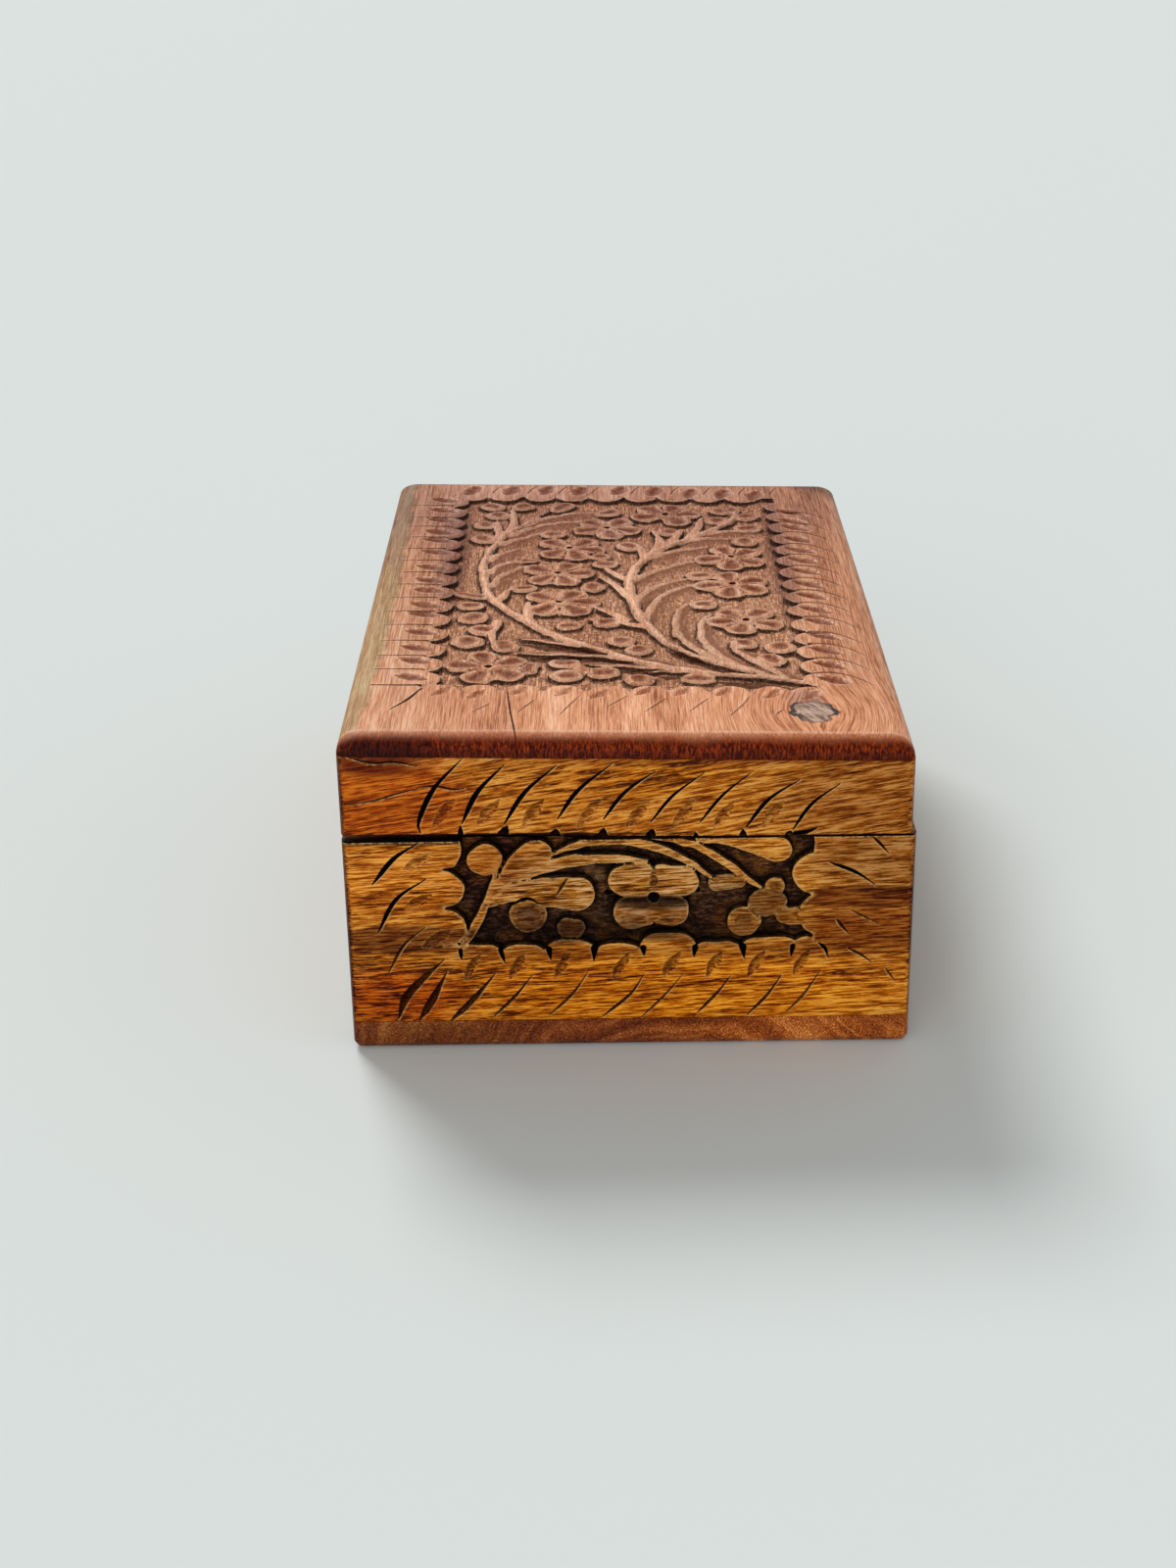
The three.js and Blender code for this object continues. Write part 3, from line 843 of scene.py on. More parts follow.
    def leave_standing(self, at, drawn):
        """The heights of a face whose ground is sunk round its motifs, and its first marks: painted
        shadow at the foot of walls and in the creases between petals, painted shade on the blades'
        sloping sides, and pale rims of wear and painted highlight, with painted highlight along the
        crests of stems and blades.
        """
        ground = self.ground(at)
        flat = [stroke for stroke in self.raised if stroke.flat]
        reach = self.wall + self.foot_width
        most_inside = self.inside_of(drawn, flat, reach, self.field_inside(drawn))
        height = self.edge(most_inside, 0.0, ground, self.wall)
        foot = self.shadow(most_inside, 1.0)
        slope_shade = np.zeros(len(at))
        crest_highlight = np.zeros(len(at))
        worked = self.wobble * (lattice_noise(at, (2.3, 2.3), self.seed + 2) - 1)
        for stroke in self.raised:
            read = None if stroke.flat else stroke.measure(drawn, max(stroke.slope, reach))
            if not read:
                continue
            near, inside, _, side, half = read
            fall = np.where((side < 0) & (stroke.slope > 0), max(stroke.slope, self.wall), self.wall)
            hollow = stroke.sag * np.clip(inside / half, 0, 1)
            top = stroke.level - hollow + worked[near]
            height[near] = np.maximum(height[near], self.edge(inside, top, ground[near], fall))
            most_inside[near] = np.maximum(most_inside[near], inside)
            # Painted highlight along the crest of stems and blades.
            if stroke.sag < 0 or stroke.slope:
                crest_highlight[near] = np.maximum(crest_highlight[near], np.clip(1.6 * inside / half - 0.6, 0, 1))
            # Painted shadow at the foot of steep sides.
            foot[near] = np.maximum(foot[near], self.shadow(inside, fall <= self.wall))
            # Painted shade on the sloping side of a blade.
            on_slope = np.clip(-inside / 0.2, 0, 1) * np.clip((fall + inside) / (0.75 * fall), 0, 1)
            slope_shade[near] = np.maximum(slope_shade[near], np.where(fall > self.wall, on_slope, 0))
        on_motif = most_inside > -self.slack
        first, second, _ = self.two_deepest(drawn)
        # Where two petals meet: a groove, and painted shade in it.
        crease = np.where(second > 0, np.clip(1 - (first - second) / 0.5, 0, 1), 0)
        # Pale rims along every outline: wear and painted highlight.
        rim = np.where(most_inside > -0.1, np.clip(1 - np.abs(most_inside) / 0.5, 0, 1), 0)
        marks = {
            "ground": np.clip(-height / self.depth, 0, 1),
            "foot": np.maximum(np.where(on_motif, 0, foot), self.crease * crease),
            "slope": np.where(on_motif, 0, slope_shade),
            "rim": np.maximum(rim, 0.75 * crest_highlight),
        }
        return height - self.crease_depth * crease, marks

    def hollow_out(self, drawn, height, marks):
        """Sinks the gouged hollows and marks them, stained, and their lips, pale from wear and painted
        highlight. They are darker above, where painted shade lies on the side away from the light.
        """
        rim = marks["rim"]
        dimple = marks["dimple"] = np.zeros(len(drawn))
        for stroke in self.scoops:
            read = stroke.measure(drawn, 0.4)
            if not read:
                continue
            near, inside, inward, _, half = read
            share = np.clip(inside / half, 0, 1)
            depth = stroke.level * (1 - (1 - share) ** 2)
            height[near] -= depth * np.clip(half / stroke.halves.max(), 0.3, 1)
            # Painted shade: the upper side of a hollow, away from the high lamp, is darker.
            upper = np.clip(-2.5 * inward[:, 1] * (1 - share), -1, 1)
            tone = stroke.slope * np.clip(share * 1.9, 0, 1) * (0.72 + 0.28 * upper)
            dimple[near] = np.maximum(dimple[near], tone)
            # A pale lip round the hollow: wear and painted highlight.
            lip = np.where(inside < 0, self.worn_lip_and_highlight * np.clip(1 + inside / 0.35, 0, 1), 0)
            rim[near] = np.maximum(rim[near], lip)

    def cut_in(self, at, height, marks):
        """Sinks the knife cuts and marks them dark with dirt and painted shade, with a pale lip of wear
        and painted highlight on their lower side.
        """
        rim = marks["rim"]
        cut = marks["cut"] = np.zeros(len(at))
        for stroke in self.cuts:
            read = stroke.measure(at, 0.3)
            if not read:
                continue
            near, inside, _, side, half = read
            share = np.clip(inside / half, 0, 1)
            height[near] -= stroke.level * share * np.clip(half / stroke.halves.max(), 0.2, 1)
            # Dark with dirt and painted shade.
            cut[near] = np.maximum(cut[near], stroke.slope * (inside > -0.04))
            # A pale lip on the lower side: wear and painted highlight.
            lip = np.where((inside < 0) & (side < 0), np.clip(1.2 + inside / 0.3, 0, 1), 0)
            rim[near] = np.maximum(rim[near], lip * stroke.slope)

    def carve(self, at):
        """The height of each point, and its marks by their names."""
        drawn = self.by_hand(at)
        height, marks = self.leave_standing(at, drawn)
        self.hollow_out(drawn, height, marks)
        self.cut_in(at, height, marks)
        for recess in self.recesses:
            sunk = np.clip(self.recess_inside(at, recess) / self.recess_edge, 0, 1)
            height -= recess[2] * sunk
            marks["rim"] *= 1 - sunk
        return height, marks


# The marks that a carved board carries: rim is a pale edge of wear and painted highlight, foot painted shadow
# at the foot of walls and in creases, slope painted shade on blades' slopes, wall painted shade and dirt on
# steep faces, and cut the dirt and painted shade in knife cuts.
mark_names = ("rim", "dimple", "ground", "foot", "slope", "wall", "cut")


def make_carving_marks():
    """What a carved board's marks do to its finish: pale rims of wear and painted highlight, gouged
    hollows stained and with painted shade on their upper side, the sunk ground and its chisel
    marks, painted shade on sloping blades, walls with painted shade and dirt down them and
    painted shadow at their foot and in creases, and knife cuts dark with dirt and painted shade.
    Each has its colour, most have a share, and Wall Reach is how far down a wall its colour goes."""
    colours = ("Worn Rim And Highlight Colour", "Hollow Colour", "Ground Colour", "Chisel And Slope Shade Colour", "Wall Shade And Dirt Colour", "Cut Colour")
    shares = ("Worn Rim And Highlight Share", "Hollow Share", "Ground Share", "Slope Shade Share", "Wall Reach")
    inputs = {
        "Vector": ("Place", "Grain"),
        "Color": ("Colour", *colours),
        "Float": ("Roughness", "Height", *mark_names, *shares),
    }
    outputs = {"Color": ("Colour",), "Float": ("Roughness", "Height")}
    tree, given = new_group("carving_marks", inputs, outputs)
    place = given["Place"]
    speck = cloud(tree, place, (1.1, 1.1, 1.1), 4, 0.65)
    chisel = cloud(tree, given["Grain"], (0.6, 2.5, 2.5), 4, 0.72)
    across = cloud(tree, place, (2.5, 0.9, 1.6), 4, 0.72)
    hatch = maths(tree, "MAXIMUM", ramp(tree, chisel, 0.49, 0.56), ramp(tree, across, 0.52, 0.59))
    # Hollows stained, with painted shade on their upper side.
    hollow = product(tree, given["dimple"], ramp(tree, speck, 0.35, 0.55, 0.7, 1.0), given["Hollow Share"])
    colour = blend_colours(tree, hollow, given["Colour"], given["Hollow Colour"])
    # Pale rims: wear and painted highlight.
    rim = product(tree, given["rim"], ramp(tree, speck, 0.4, 0.6, 0.15, 1.0), given["Worn Rim And Highlight Share"])
    colour = blend_colours(tree, rim, colour, given["Worn Rim And Highlight Colour"])
    floor_colour = blend_colours(tree, hatch, given["Ground Colour"], given["Chisel And Slope Shade Colour"])
    bare = ramp(tree, cloud(tree, place, (0.2, 0.2, 0.2), 4, 0.6), 0.46, 0.6, 1.0, 0.76)
    sunk = product(tree, ramp(tree, given["ground"], 0.08, 0.75), bare, given["Ground Share"])
    colour = blend_colours(tree, sunk, colour, floor_colour)
    # Painted shade on the sloping sides of blades.
    slope = product(tree, given["slope"], ramp(tree, speck, 0.3, 0.6, 0.6, 1.0), given["Slope Shade Share"])
    colour = blend_colours(tree, slope, colour, given["Chisel And Slope Shade Colour"])
    # Painted shadow at the foot of walls and in creases, and painted shade and dirt down the walls.
    at_foot = product(tree, given["foot"], ramp(tree, speck, 0.3, 0.6, 0.15, 0.8))
    reach_end = maths(tree, "ADD", given["Wall Reach"], 0.35)
    high_up = ramp(tree, given["ground"], given["Wall Reach"], reach_end, 1.0, 0.0)
    on_wall = product(tree, given["wall"], ramp(tree, chisel, 0.35, 0.6, 0.75, 1.0), high_up)
    colour = blend_colours(tree, maths(tree, "MAXIMUM", at_foot, on_wall), colour, given["Wall Shade And Dirt Colour"])
    # Knife cuts dark with dirt and painted shade.
    colour = blend_colours(tree, given["cut"], colour, given["Cut Colour"])
    roughness = maths(tree, "MULTIPLY_ADD", given["ground"], 0.25, given["Roughness"])
    roughness = maths(tree, "MULTIPLY_ADD", given["cut"], 0.3, roughness, clamp=True)
    height = maths(tree, "ADD", given["Height"], product(tree, given["ground"], hatch, -3.0))
    add_node(tree, "NodeGroupOutput", {"Colour": colour, "Roughness": roughness, "Height": height})
    return tree


carving_marks = make_carving_marks()


def mark_carving(values, tree, place, grain, colour, roughness, height):
    """Lays the carving's marks over a finish, with their own colours and shares as values."""
    inputs = {"Place": place, "Grain": grain, "Colour": colour, "Roughness": roughness, "Height": height}
    for name in mark_names:
        inputs[name] = add_node(tree, "ShaderNodeAttribute", attribute_name=name).outputs["Fac"]
    marked = add_node(tree, "ShaderNodeGroup", {**inputs, **values}, node_tree=carving_marks).outputs
    return marked["Colour"], marked["Roughness"], marked["Height"]


def gouge(relief, u, v, reach=(3.0, 5.0), wide=0.85, dark=0.8):
    """A short curved gouge about a spot, running up to the right."""
    low = (u - reach[0] / 2, v - reach[1] / 2)
    high = (u + reach[0] / 2, v + reach[1] / 2)
    relief.scoop((low, (u - 0.45, v - 0.3), high), (0.3, wide, wide * 1.3, wide, 0.25), 0.6, dark)


def lobe_row(relief, tops):
    """Lobes along the foot of a sunk panel, each (middle, top, reach), with a notch after it."""
    for u, top, reach in tops:
        relief.stem(((u - reach, top - 3.1), (u + reach, top - 3.1)), (3.1, 3.1))
    hand = np.random.default_rng(relief.seed)
    for (u, _, _), (after, _, _) in zip(tops, tops[1:]):
        valley = (u + after) / 2 + hand.uniform(-0.4, 0.4)
        foot = (valley + hand.uniform(-0.5, 0.8), 17.3 + hand.uniform(-0.2, 1.2))
        relief.cut(((valley, 19.8), foot), (hand.uniform(0.35, 0.75), 0.35, 0.05), 1.3)


def end_panel(relief):
    """The vine, flower and leaves of an end's sunk panel."""
    relief.stem(
        ((-29.5, 20.6), (-27.2, 24.5), (-25.2, 29), (-24, 33), (-22.6, 38)),
        (0.5, 0.8, 0.55, 0.4, 0.15),
    )
    relief.stem(((-25.5, 37.2), (-25, 37.7)), (2.75, 2.75), -0.05)
    relief.stem(((-24.4, 30.2), (-21.5, 34), (-17.6, 37.6), (-16, 38.5)), (0.5, 1.2, 2.3, 2.6))
    relief.stem(((-25, 28.6), (-20, 31), (-14, 31), (-9.4, 30.6)), (0.4, 1.7, 2.8, 3.3))
    relief.stem(
        ((-23, 33), (-17, 35.2), (-11, 36.9), (-5, 37.4), (0, 37.3), (3, 36.8)),
        (0.8, 1.1, 1.1, 1.0, 0.8, 0.3),
    )
    relief.stem(
        ((-13.6, 38.3), (-9, 40.1), (-4, 40.9), (2, 40.2), (8, 37.9), (12, 35.4), (15.8, 32.6)),
        (0.15, 0.7, 0.8, 0.75, 0.65, 0.5, 0.15),
    )
    relief.stem(((4, 41.3), (10, 40.3), (14.5, 38), (19, 34.6), (23.2, 31.2)), (0.3, 0.6, 0.65, 0.65, 0.25))
    relief.stem(((12, 40.9), (18, 40.6), (22, 39.9), (26, 38.7)), (0.4, 0.9, 1.9, 2.4))
    relief.stem(((15.5, 32.2), (19, 32.4)), (1.6, 1.5), -0.5)
    relief.stem(((-0.6, 33), (2.4, 33.2)), (3.1, 3.0))
    relief.stem(((9.2, 32.8), (6, 33.1)), (2.9, 3.0))
    relief.stem(((0.4, 26.7), (3, 27.4)), (3.3, 3.2), -0.05)
    relief.stem(((7.4, 27), (5.2, 27.6)), (3.1, 3.2), -0.05)
    relief.cut(((-3.8, 30.1), (-2.4, 29.9)), (0.5, 0.06), 0.9)
    relief.cut(((12, 30.3), (10.6, 29.9)), (0.5, 0.06), 0.9)
    # The lower petals' dishes right under the upper petals are darkened strongly: painted shade.
    relief.scoop(((-3.4, 28.7), (0, 28.6), (3.1, 28.9)), (0.7, 1.4, 1.0), 0.5, 1.3)
    relief.scoop(((5.7, 28.9), (8.4, 28.7), (10.6, 29)), (1.0, 1.3, 0.7), 0.5, 1.3)
    relief.scoop(((-1, 25.4), (2.2, 25)), (0.9, 1.1), 0.35, 0.6)
    relief.scoop(((6.2, 25.2), (8.6, 26)), (1.1, 0.8), 0.35, 0.6)
    relief.scoop(((4.4, 35), (4.2, 32.6)), (0.5, 0.9), 0.35, 0.9)
    relief.cut(((4.2, 36.1), (4.3, 35.2)), (0.5, 0.08), 0.8, 0.8)
    relief.cut(((4.2, 23.6), (4.4, 24.9)), (0.5, 0.08), 0.8, 0.8)
    relief.cut(((4.3, 29.8),), (1.05, 1.05), 1.4)
    relief.leaf((-17.8, 26.4), 6.9, 6.7, 0, dimple=0.5, level=-0.35)
    relief.cut(((-21.3, 28.2), (-18, 29.9), (-15.8, 28.8)), (0.2, 0.36, 0.06), 0.7)
    relief.cut(((-12.7, 30.6), (-11.8, 32.2), (-10.9, 33.6)), (0.08, 0.3, 0.12), 0.6, 0.8)
    relief.leaf((-10.2, 23.6), 5.2, 3.8, 0, dimple=0, level=-0.5)
    relief.leaf((25.6, 31.5), 3.6, 3.2, 0, dimple=0.3, level=-0.3)
    relief.leaf((24.4, 28.2), 6.8, 5.4, 10, dimple=0, level=-0.5)
    relief.leaf((20.2, 24.8), 6, 5.7, 0, dimple=0.35, level=-0.1)
    relief.stem(((27.2, 25.6), (30.4, 25.6)), (1.5, 1.8), -0.3)


def base_end_carving(seed):
    """The whole carving of a base end wall: the panel, its lobes and the border. The field runs
    out over the wall's upper edge."""
    relief = Relief(((-32.6, 18.6), (32.2, 60)), panel_depth, seed)
    end_panel(relief)
    for u, v, radius in (
        (-33, 39.6, 3.9), (-32.4, 31.8, 3.5), (-32.2, 24.2, 3.4), (-31.6, 18.2, 2.9),
        (31.4, 18, 3.6), (33.6, 26, 4.0), (32.6, 34, 4.0), (35.9, 41.6, 3.4),
    ):
        relief.stem(((u, v),), (radius, radius))
    lobe_row(relief, (
        (-33, 20.2, 1.2), (-26.5, 20.7, 1.3), (-18.8, 20.6, 1.4), (-10.6, 21.5, 1.6), (-2.2, 20.6, 1.6),
        (6.7, 22.5, 1.9), (15.7, 20.8, 1.8), (24.6, 21.6, 2.2), (32.6, 21.0, 1.4),
    ))
    for arc, wide, dark in (
        (((-45, 33), (-41, 38), (-36.5, 41)), 0.42, 1.0),
        (((-44.5, 23.5), (-41, 30), (-35.5, 34)), 0.36, 1.0),
        (((-43, 15.5), (-40, 21), (-36, 24.5)), 0.24, 0.7),
        (((-41.7, 6), (-39.6, 11.2), (-33, 18)), 0.75, 0.85),
        (((-38, 5.6), (-35.6, 9.6), (-32.6, 15.5)), 0.7, 0.85),
        (((-32.6, 5.2), (-28.5, 9.4), (-24, 15)), 0.55, 0.85),
        (((-24.5, 6.3), (-20.5, 10.5), (-17.5, 14.5)), 0.28, 0.85),
        (((-14.5, 6.5), (-10.5, 10.5), (-7.5, 15)), 0.24, 0.8),
        (((-5, 6), (0, 10.5), (2.5, 14.5)), 0.28, 0.85),
        (((2, 5.8), (6, 10), (9.5, 14.5)), 0.2, 0.7),
        (((12, 6.5), (15.5, 10.5), (18, 14)), 0.26, 0.85),
        (((21, 6), (24.5, 10), (27, 14)), 0.26, 0.85),
        (((28, 6.5), (31, 10), (34, 15)), 0.22, 0.7),
        (((35, 36.2), (39.5, 34.3), (43, 31.8)), 0.3, 1.0),
        (((42.3, 41), (43.4, 40), (45.2, 37.8)), 0.24, 0.9),
        (((36.5, 25), (38.6, 22.2)), 0.3, 0.7),
        (((39, 26.8), (41.5, 25.4), (44, 24)), 0.16, 0.5),
        (((38.7, 19.2), (41, 17.9), (43, 16.3)), 0.24, 0.8),
        (((45.5, 15), (47.3, 12.4)), 0.18, 0.6),
        (((33.4, 20.4), (34.6, 19.3), (35.2, 17.4)), 0.3, 1.0),
    ):
        relief.cut(arc, (0.06, wide, wide, wide * 0.5, 0.04), 0.45 + wide, dark)
    relief.cut(((-49.6, 41.35), (49.6, 41.35)), (0.2, 0.2), 0.3)
    for u, v in ((-36.7, 37.4), (-37.2, 29.4), (-34.2, 22.2)):
        gouge(relief, u, v, (4.8, 3.0), 0.95, 0.75)
    for u in (-28, -20, -12, -1.4, 7.5, 15, 22.5, 30.5):
        gouge(relief, u, 16.4, (2.8, 4.8), 0.85, 1.1)
    return relief


# The walls' carving colours: pale rims of wear and painted highlight, painted shade and dirt on the walls and
# at their foot, painted shade on blade slopes, and cuts dark with dirt and painted shade.
gold_marks = {
    "Worn Rim And Highlight Colour": shade(222, 172, 104),
    "Hollow Colour": shade(58, 24, 6),
    "Ground Colour": shade(80, 48, 34),
    "Chisel And Slope Shade Colour": shade(10, 4, 3),
    "Wall Shade And Dirt Colour": shade(8, 3, 3),
    "Cut Colour": shade(8, 3, 2),
    "Worn Rim And Highlight Share": 0.9,
    "Hollow Share": 0.85,
    "Ground Share": 0.98,
    "Slope Shade Share": 0.9,
    "Wall Reach": 2.0,
}


def wall_finish(name, turn, heart, patches, stains_and_shade):
    """The walls' golden wood, varnished, with its own heart, patches of colour and painted shade,
    and stains and painted shade over its carving.
    """
    return wood(
        name,
        turn,
        heart,
        (shade(62, 14, 0), shade(152, 76, 2), shade(200, 118, 22), shade(236, 172, 84)),
        (0.25, 0.25, 0.85, 0.35),
        2.4,
        0.36,
        grain_depth=0.9,
        fleck_share=0.45,
        shine=0.06,
        patches=patches,
        carved=partial(mark_carving, gold_marks),
        stains_and_shade=stains_and_shade,
    )


def make_wall(node, way, size, rounds, cell, relief, turn, heart, patches=(), stains_and_shade=(), lean=None):
    """A carved wall in place of its node. size is half its length, its foot and its upper edge,
    and rounds are the radii of its two sides, its lower edge and its upper edge."""
    half, foot, head = size
    spans = ((-half, foot), (half, head), wall_thickness)
    piece = board(f"{node}_wood", way, *spans, rounds, cell, relief=relief, lean=lean)
    finish = wall_finish(f"{node}_finish", turn, heart, patches, stains_and_shade)
    finish_piece(piece, finish, node.split("_")[0], node)


wall_thickness = 8.0
panel_depth = 1.8
base_low = bottom_thickness
base_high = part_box("base_right_wall")[1].z * 1000
end_size = (box_width / 2, base_low, base_high)
end_rounds = (1.0, 1.0, 0.25, 0.25)
end_cell = 0.9
right_way = facing((0, 1, 0), (0, 0, 1), (1, 0, 0), (box_length / 2, 0, 0))
end_grain = (math.radians(-3), 0, math.radians(-90))
make_wall(
    "base_right_wall",
    right_way,
    end_size,
    end_rounds,
    end_cell,
    base_end_carving(11),
    end_grain,
    (0, 34, -30),
    (
        ((0.3, 0.24, 0.3), (76, -14, 24.4), (20, 9, 4), 0.85, 0.5),
        ((0.4, 0.36, 0.42), (76, 22, 28), (20, 9, 4), 0.8, 0.5),
        ((0.92, 1.2, 3.0), (76, -3, 32), (20, 21, 8), 0.75, 0.25),
        ((0.3, 0.2, 0.14), (76, -39, 22.4), (20, 14, 2.5), 0.9, 0.15),
        ((0.4, 0.3, 0.25), (76, -39, 20), (20, 14, 0.45), 0.9, 0.2),
        ((1.12, 0.95, 0.7), (76, -42, 33), (20, 16, 7), 0.8, 0.4),
        ((0.32, 0.18, 0.08), (76, 42, 29.5), (20, 14, 2.2), 0.9, 0.15),
        ((0.34, 0.16, 0.04), (76, 42, 23), (20, 12, 5), 0.8, 0.4),
        ((0.54, 0.52, 0.8), (76, 44, 37), (20, 13, 6), 0.8, 0.4),
        ((0.9, 0.46, 0.08), (76, -42, 10), (20, 11, 6), 0.8, 0.5),
        ((1.25, 1.04, 0.2), (76, 6, 11), (20, 44, 8), 0.8, 0.5),
        # The next two patches paint shadow into the seam gap between base and lid, and along the seam.
        ((0.04, 0.02, 0.01), (77, -34, 41.5), (3, 44, 0.9), 1.0, 0.3),
        ((0.22, 0.14, 0.1), (74.5, -6, 41.5), (3.6, 50, 0.6), 0.95, 0.3),
        ((0.6, 0.55, 0.6), (76, 4.3, 26.4), (20, 9, 4), 0.8, 0.3),
        ((0.12, 0.07, 0.06), (76, -50.3, 24), (2.2, 1.1, 30), 0.95, 0.4),
        ((0.3, 0.3, 0.25), (76, 50.2, 24), (2.2, 0.8, 30), 0.9, 0.4),
    ),
    (
        ((0.1, 0.06, 0.08), (75, -10, 23), (20, 18, 2.3), 0.62, 0.3),
        ((0.1, 0.06, 0.08), (75, 12, 22.6), (20, 16, 1.8), 0.58, 0.3),
        # Painted shadow under the flower's upper petals.
        ((0.1, 0.06, 0.05), (75, 4.3, 28.9), (20, 7.6, 1.5), 0.9, 0.45),
        ((0.72, 0.58, 0.46), (75, -22, 36.5), (20, 9, 5.5), 0.75, 0.5),
        ((0.55, 0.46, 0.4), (76, -16, 18.8), (20, 18, 1.5), 0.75, 0.4),
        ((0.55, 0.46, 0.4), (76, 20, 19.2), (20, 18, 1.6), 0.75, 0.4),
    ),
)

# Left end wall of the base.
# The same board and carving as on the right end, made free-hand once more, so the ground and
# the wood's figure differ.
left_way = facing((0, -1, 0), (0, 0, 1), (-1, 0, 0), (-box_length / 2, 0, 0))
make_wall(
    "base_left_wall",
    left_way,
    end_size,
    end_rounds,
    end_cell,
    base_end_carving(12),
    end_grain,
    (30, 28, -14),
    (
        ((0.4, 0.3, 0.25), (-76, 30, 26), (20, 16, 3), 0.8, 0.5),
        ((0.6, 0.4, 0.25), (-76, -40, 14), (20, 12, 8), 0.7, 0.5),
    ),
)

# Front wall of the base.
# A board between the end walls, with a longer sunk panel: the end's vine and flower on the
# left, their mirror on the right, and the same lobes, arcs and gouges round them.
long_half = box_length / 2 - wall_thickness
long_size = (long_half, base_low, base_high)
long_rounds = (0.1, 0.1, 0.25, 0.25)
long_grain = (0, 0, 0)
free_hand = np.random.default_rng(5)


def low_border(relief, first, last, pitch):
    """Arcs and gouges along the foot of a long wall, a little uneven."""
    for u in np.arange(first, last, pitch):
        u += free_hand.uniform(-0.5, 0.5)
        wide = free_hand.uniform(0.2, 0.34)
        tall = free_hand.uniform(-0.5, 0.5)
        arc = ((u - 3.6, 6.2), (u + 0.3, 10.6 + tall), (u + 3.4, 14.6 + tall))
        relief.cut(arc, (0.06, wide, wide, wide * 0.5, 0.04), 0.45 + wide, 0.85)
        gouge(relief, u + 6.4, 16.4 + tall, (2.8, 4.8), 0.85, 1.1)


front_relief = Relief(((-58.9, 18.6), (58.9, 60)), panel_depth, 13)
front_relief.shift = -26.5
for front_relief.flip in (-1, 1):
    end_panel(front_relief)
front_relief.shift = 0.0
lobe_row(front_relief, [(u, 21 + free_hand.uniform(-0.6, 0.6), 1.6) for u in np.linspace(-59, 59, 15)])
for front_relief.flip in (-1, 1):
    for u, v, radius in ((59.6, 39.8, 3.9), (59, 31.8, 3.6), (58.8, 24.2, 3.5), (58.2, 18.2, 3.0)):
        front_relief.stem(((u, v),), (radius, radius))
    for low, high in ((30, 38), (21, 29), (12.5, 20)):
        front_relief.cut(((66.6, low), (64.8, (low + high) / 2), (62, high)), (0.08, 0.34, 0.26, 0.05), 0.8)
low_border(front_relief, -60, 62, 8.3)
front_relief.cut(((-67.6, 41.35), (67.6, 41.35)), (0.2, 0.2), 0.3)
front_way = facing((1, 0, 0), (0, 0, 1), (0, -1, 0), (0, -box_width / 2, 0))
make_wall(
    "base_front_wall",
    front_way,
    long_size,
    long_rounds,
    1.0,
    front_relief,
    long_grain,
    (0, -32, -22),
    (
        ((0.35, 0.28, 0.3), (-10, -50, 25), (26, 20, 5), 0.8, 0.6),
        ((0.5, 0.35, 0.25), (52, -50, 30), (16, 20, 4), 0.7, 0.5),
        ((1.15, 1.0, 0.4), (0, -50, 10), (66, 20, 7), 0.7, 0.5),
    ),
)

# Back wall of the base.
# A board between the end walls, carved with the border's arcs alone. At each hinge its upper
# edge is let in for the leaf, with a groove outside it for the barrel.
hinge_places = (-44.0, 44.0)
mortise_half = 11.3
mortise_depth = 6.8
groove_depth = 1.53
leaf_thickness = 0.9
groove_reach = 1.88
lid_low, lid_high = (corner.z * 1000 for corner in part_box("lid_right_wall"))
seam_middle = (base_high + lid_low) / 2


def let_in_hinges(relief, face, into):
    """Lets the hinges into a back wall whose seam face is at face, and whose wood is above it
    where into is +1 and below it where it is -1."""
    groove = (seam_middle + into * groove_reach, groove_depth)
    mortise = (face + into * leaf_thickness, mortise_depth - groove_depth)
    for middle in hinge_places:
        for reach, sunk in (groove, mortise):
            low, high = sorted((reach, face - into * 20))
            relief.recesses.append(((middle - mortise_half, low), (middle + mortise_half, high), sunk))


back_relief = Relief(None, panel_depth, 14)
low_border(back_relief, -60, 62, 8.3)
for u in np.arange(-26, 27, 8.3):
    back_relief.cut(((u - 3, 31.5), (u + 0.4, 35.5), (u + 3.4, 39.4)), (0.08, 0.3, 0.24, 0.05), 0.75, 0.85)
let_in_hinges(back_relief, base_high, -1)
back_way = facing((-1, 0, 0), (0, 0, 1), (0, 1, 0), (0, box_width / 2, 0))
make_wall(
    "base_back_wall",
    back_way,
    long_size,
    long_rounds,
    1.2,
    back_relief,
    long_grain,
    (20, 30, -12),
    (((0.45, 0.34, 0.3), (-20, 50, 30), (40, 20, 4), 0.7, 0.6),),
)

# Right end wall of the lid.
# A narrow board of the same wood over the base's end wall. Knife arcs lean to the right over
# it, and notches in its lower edge meet the base's sunk panel.


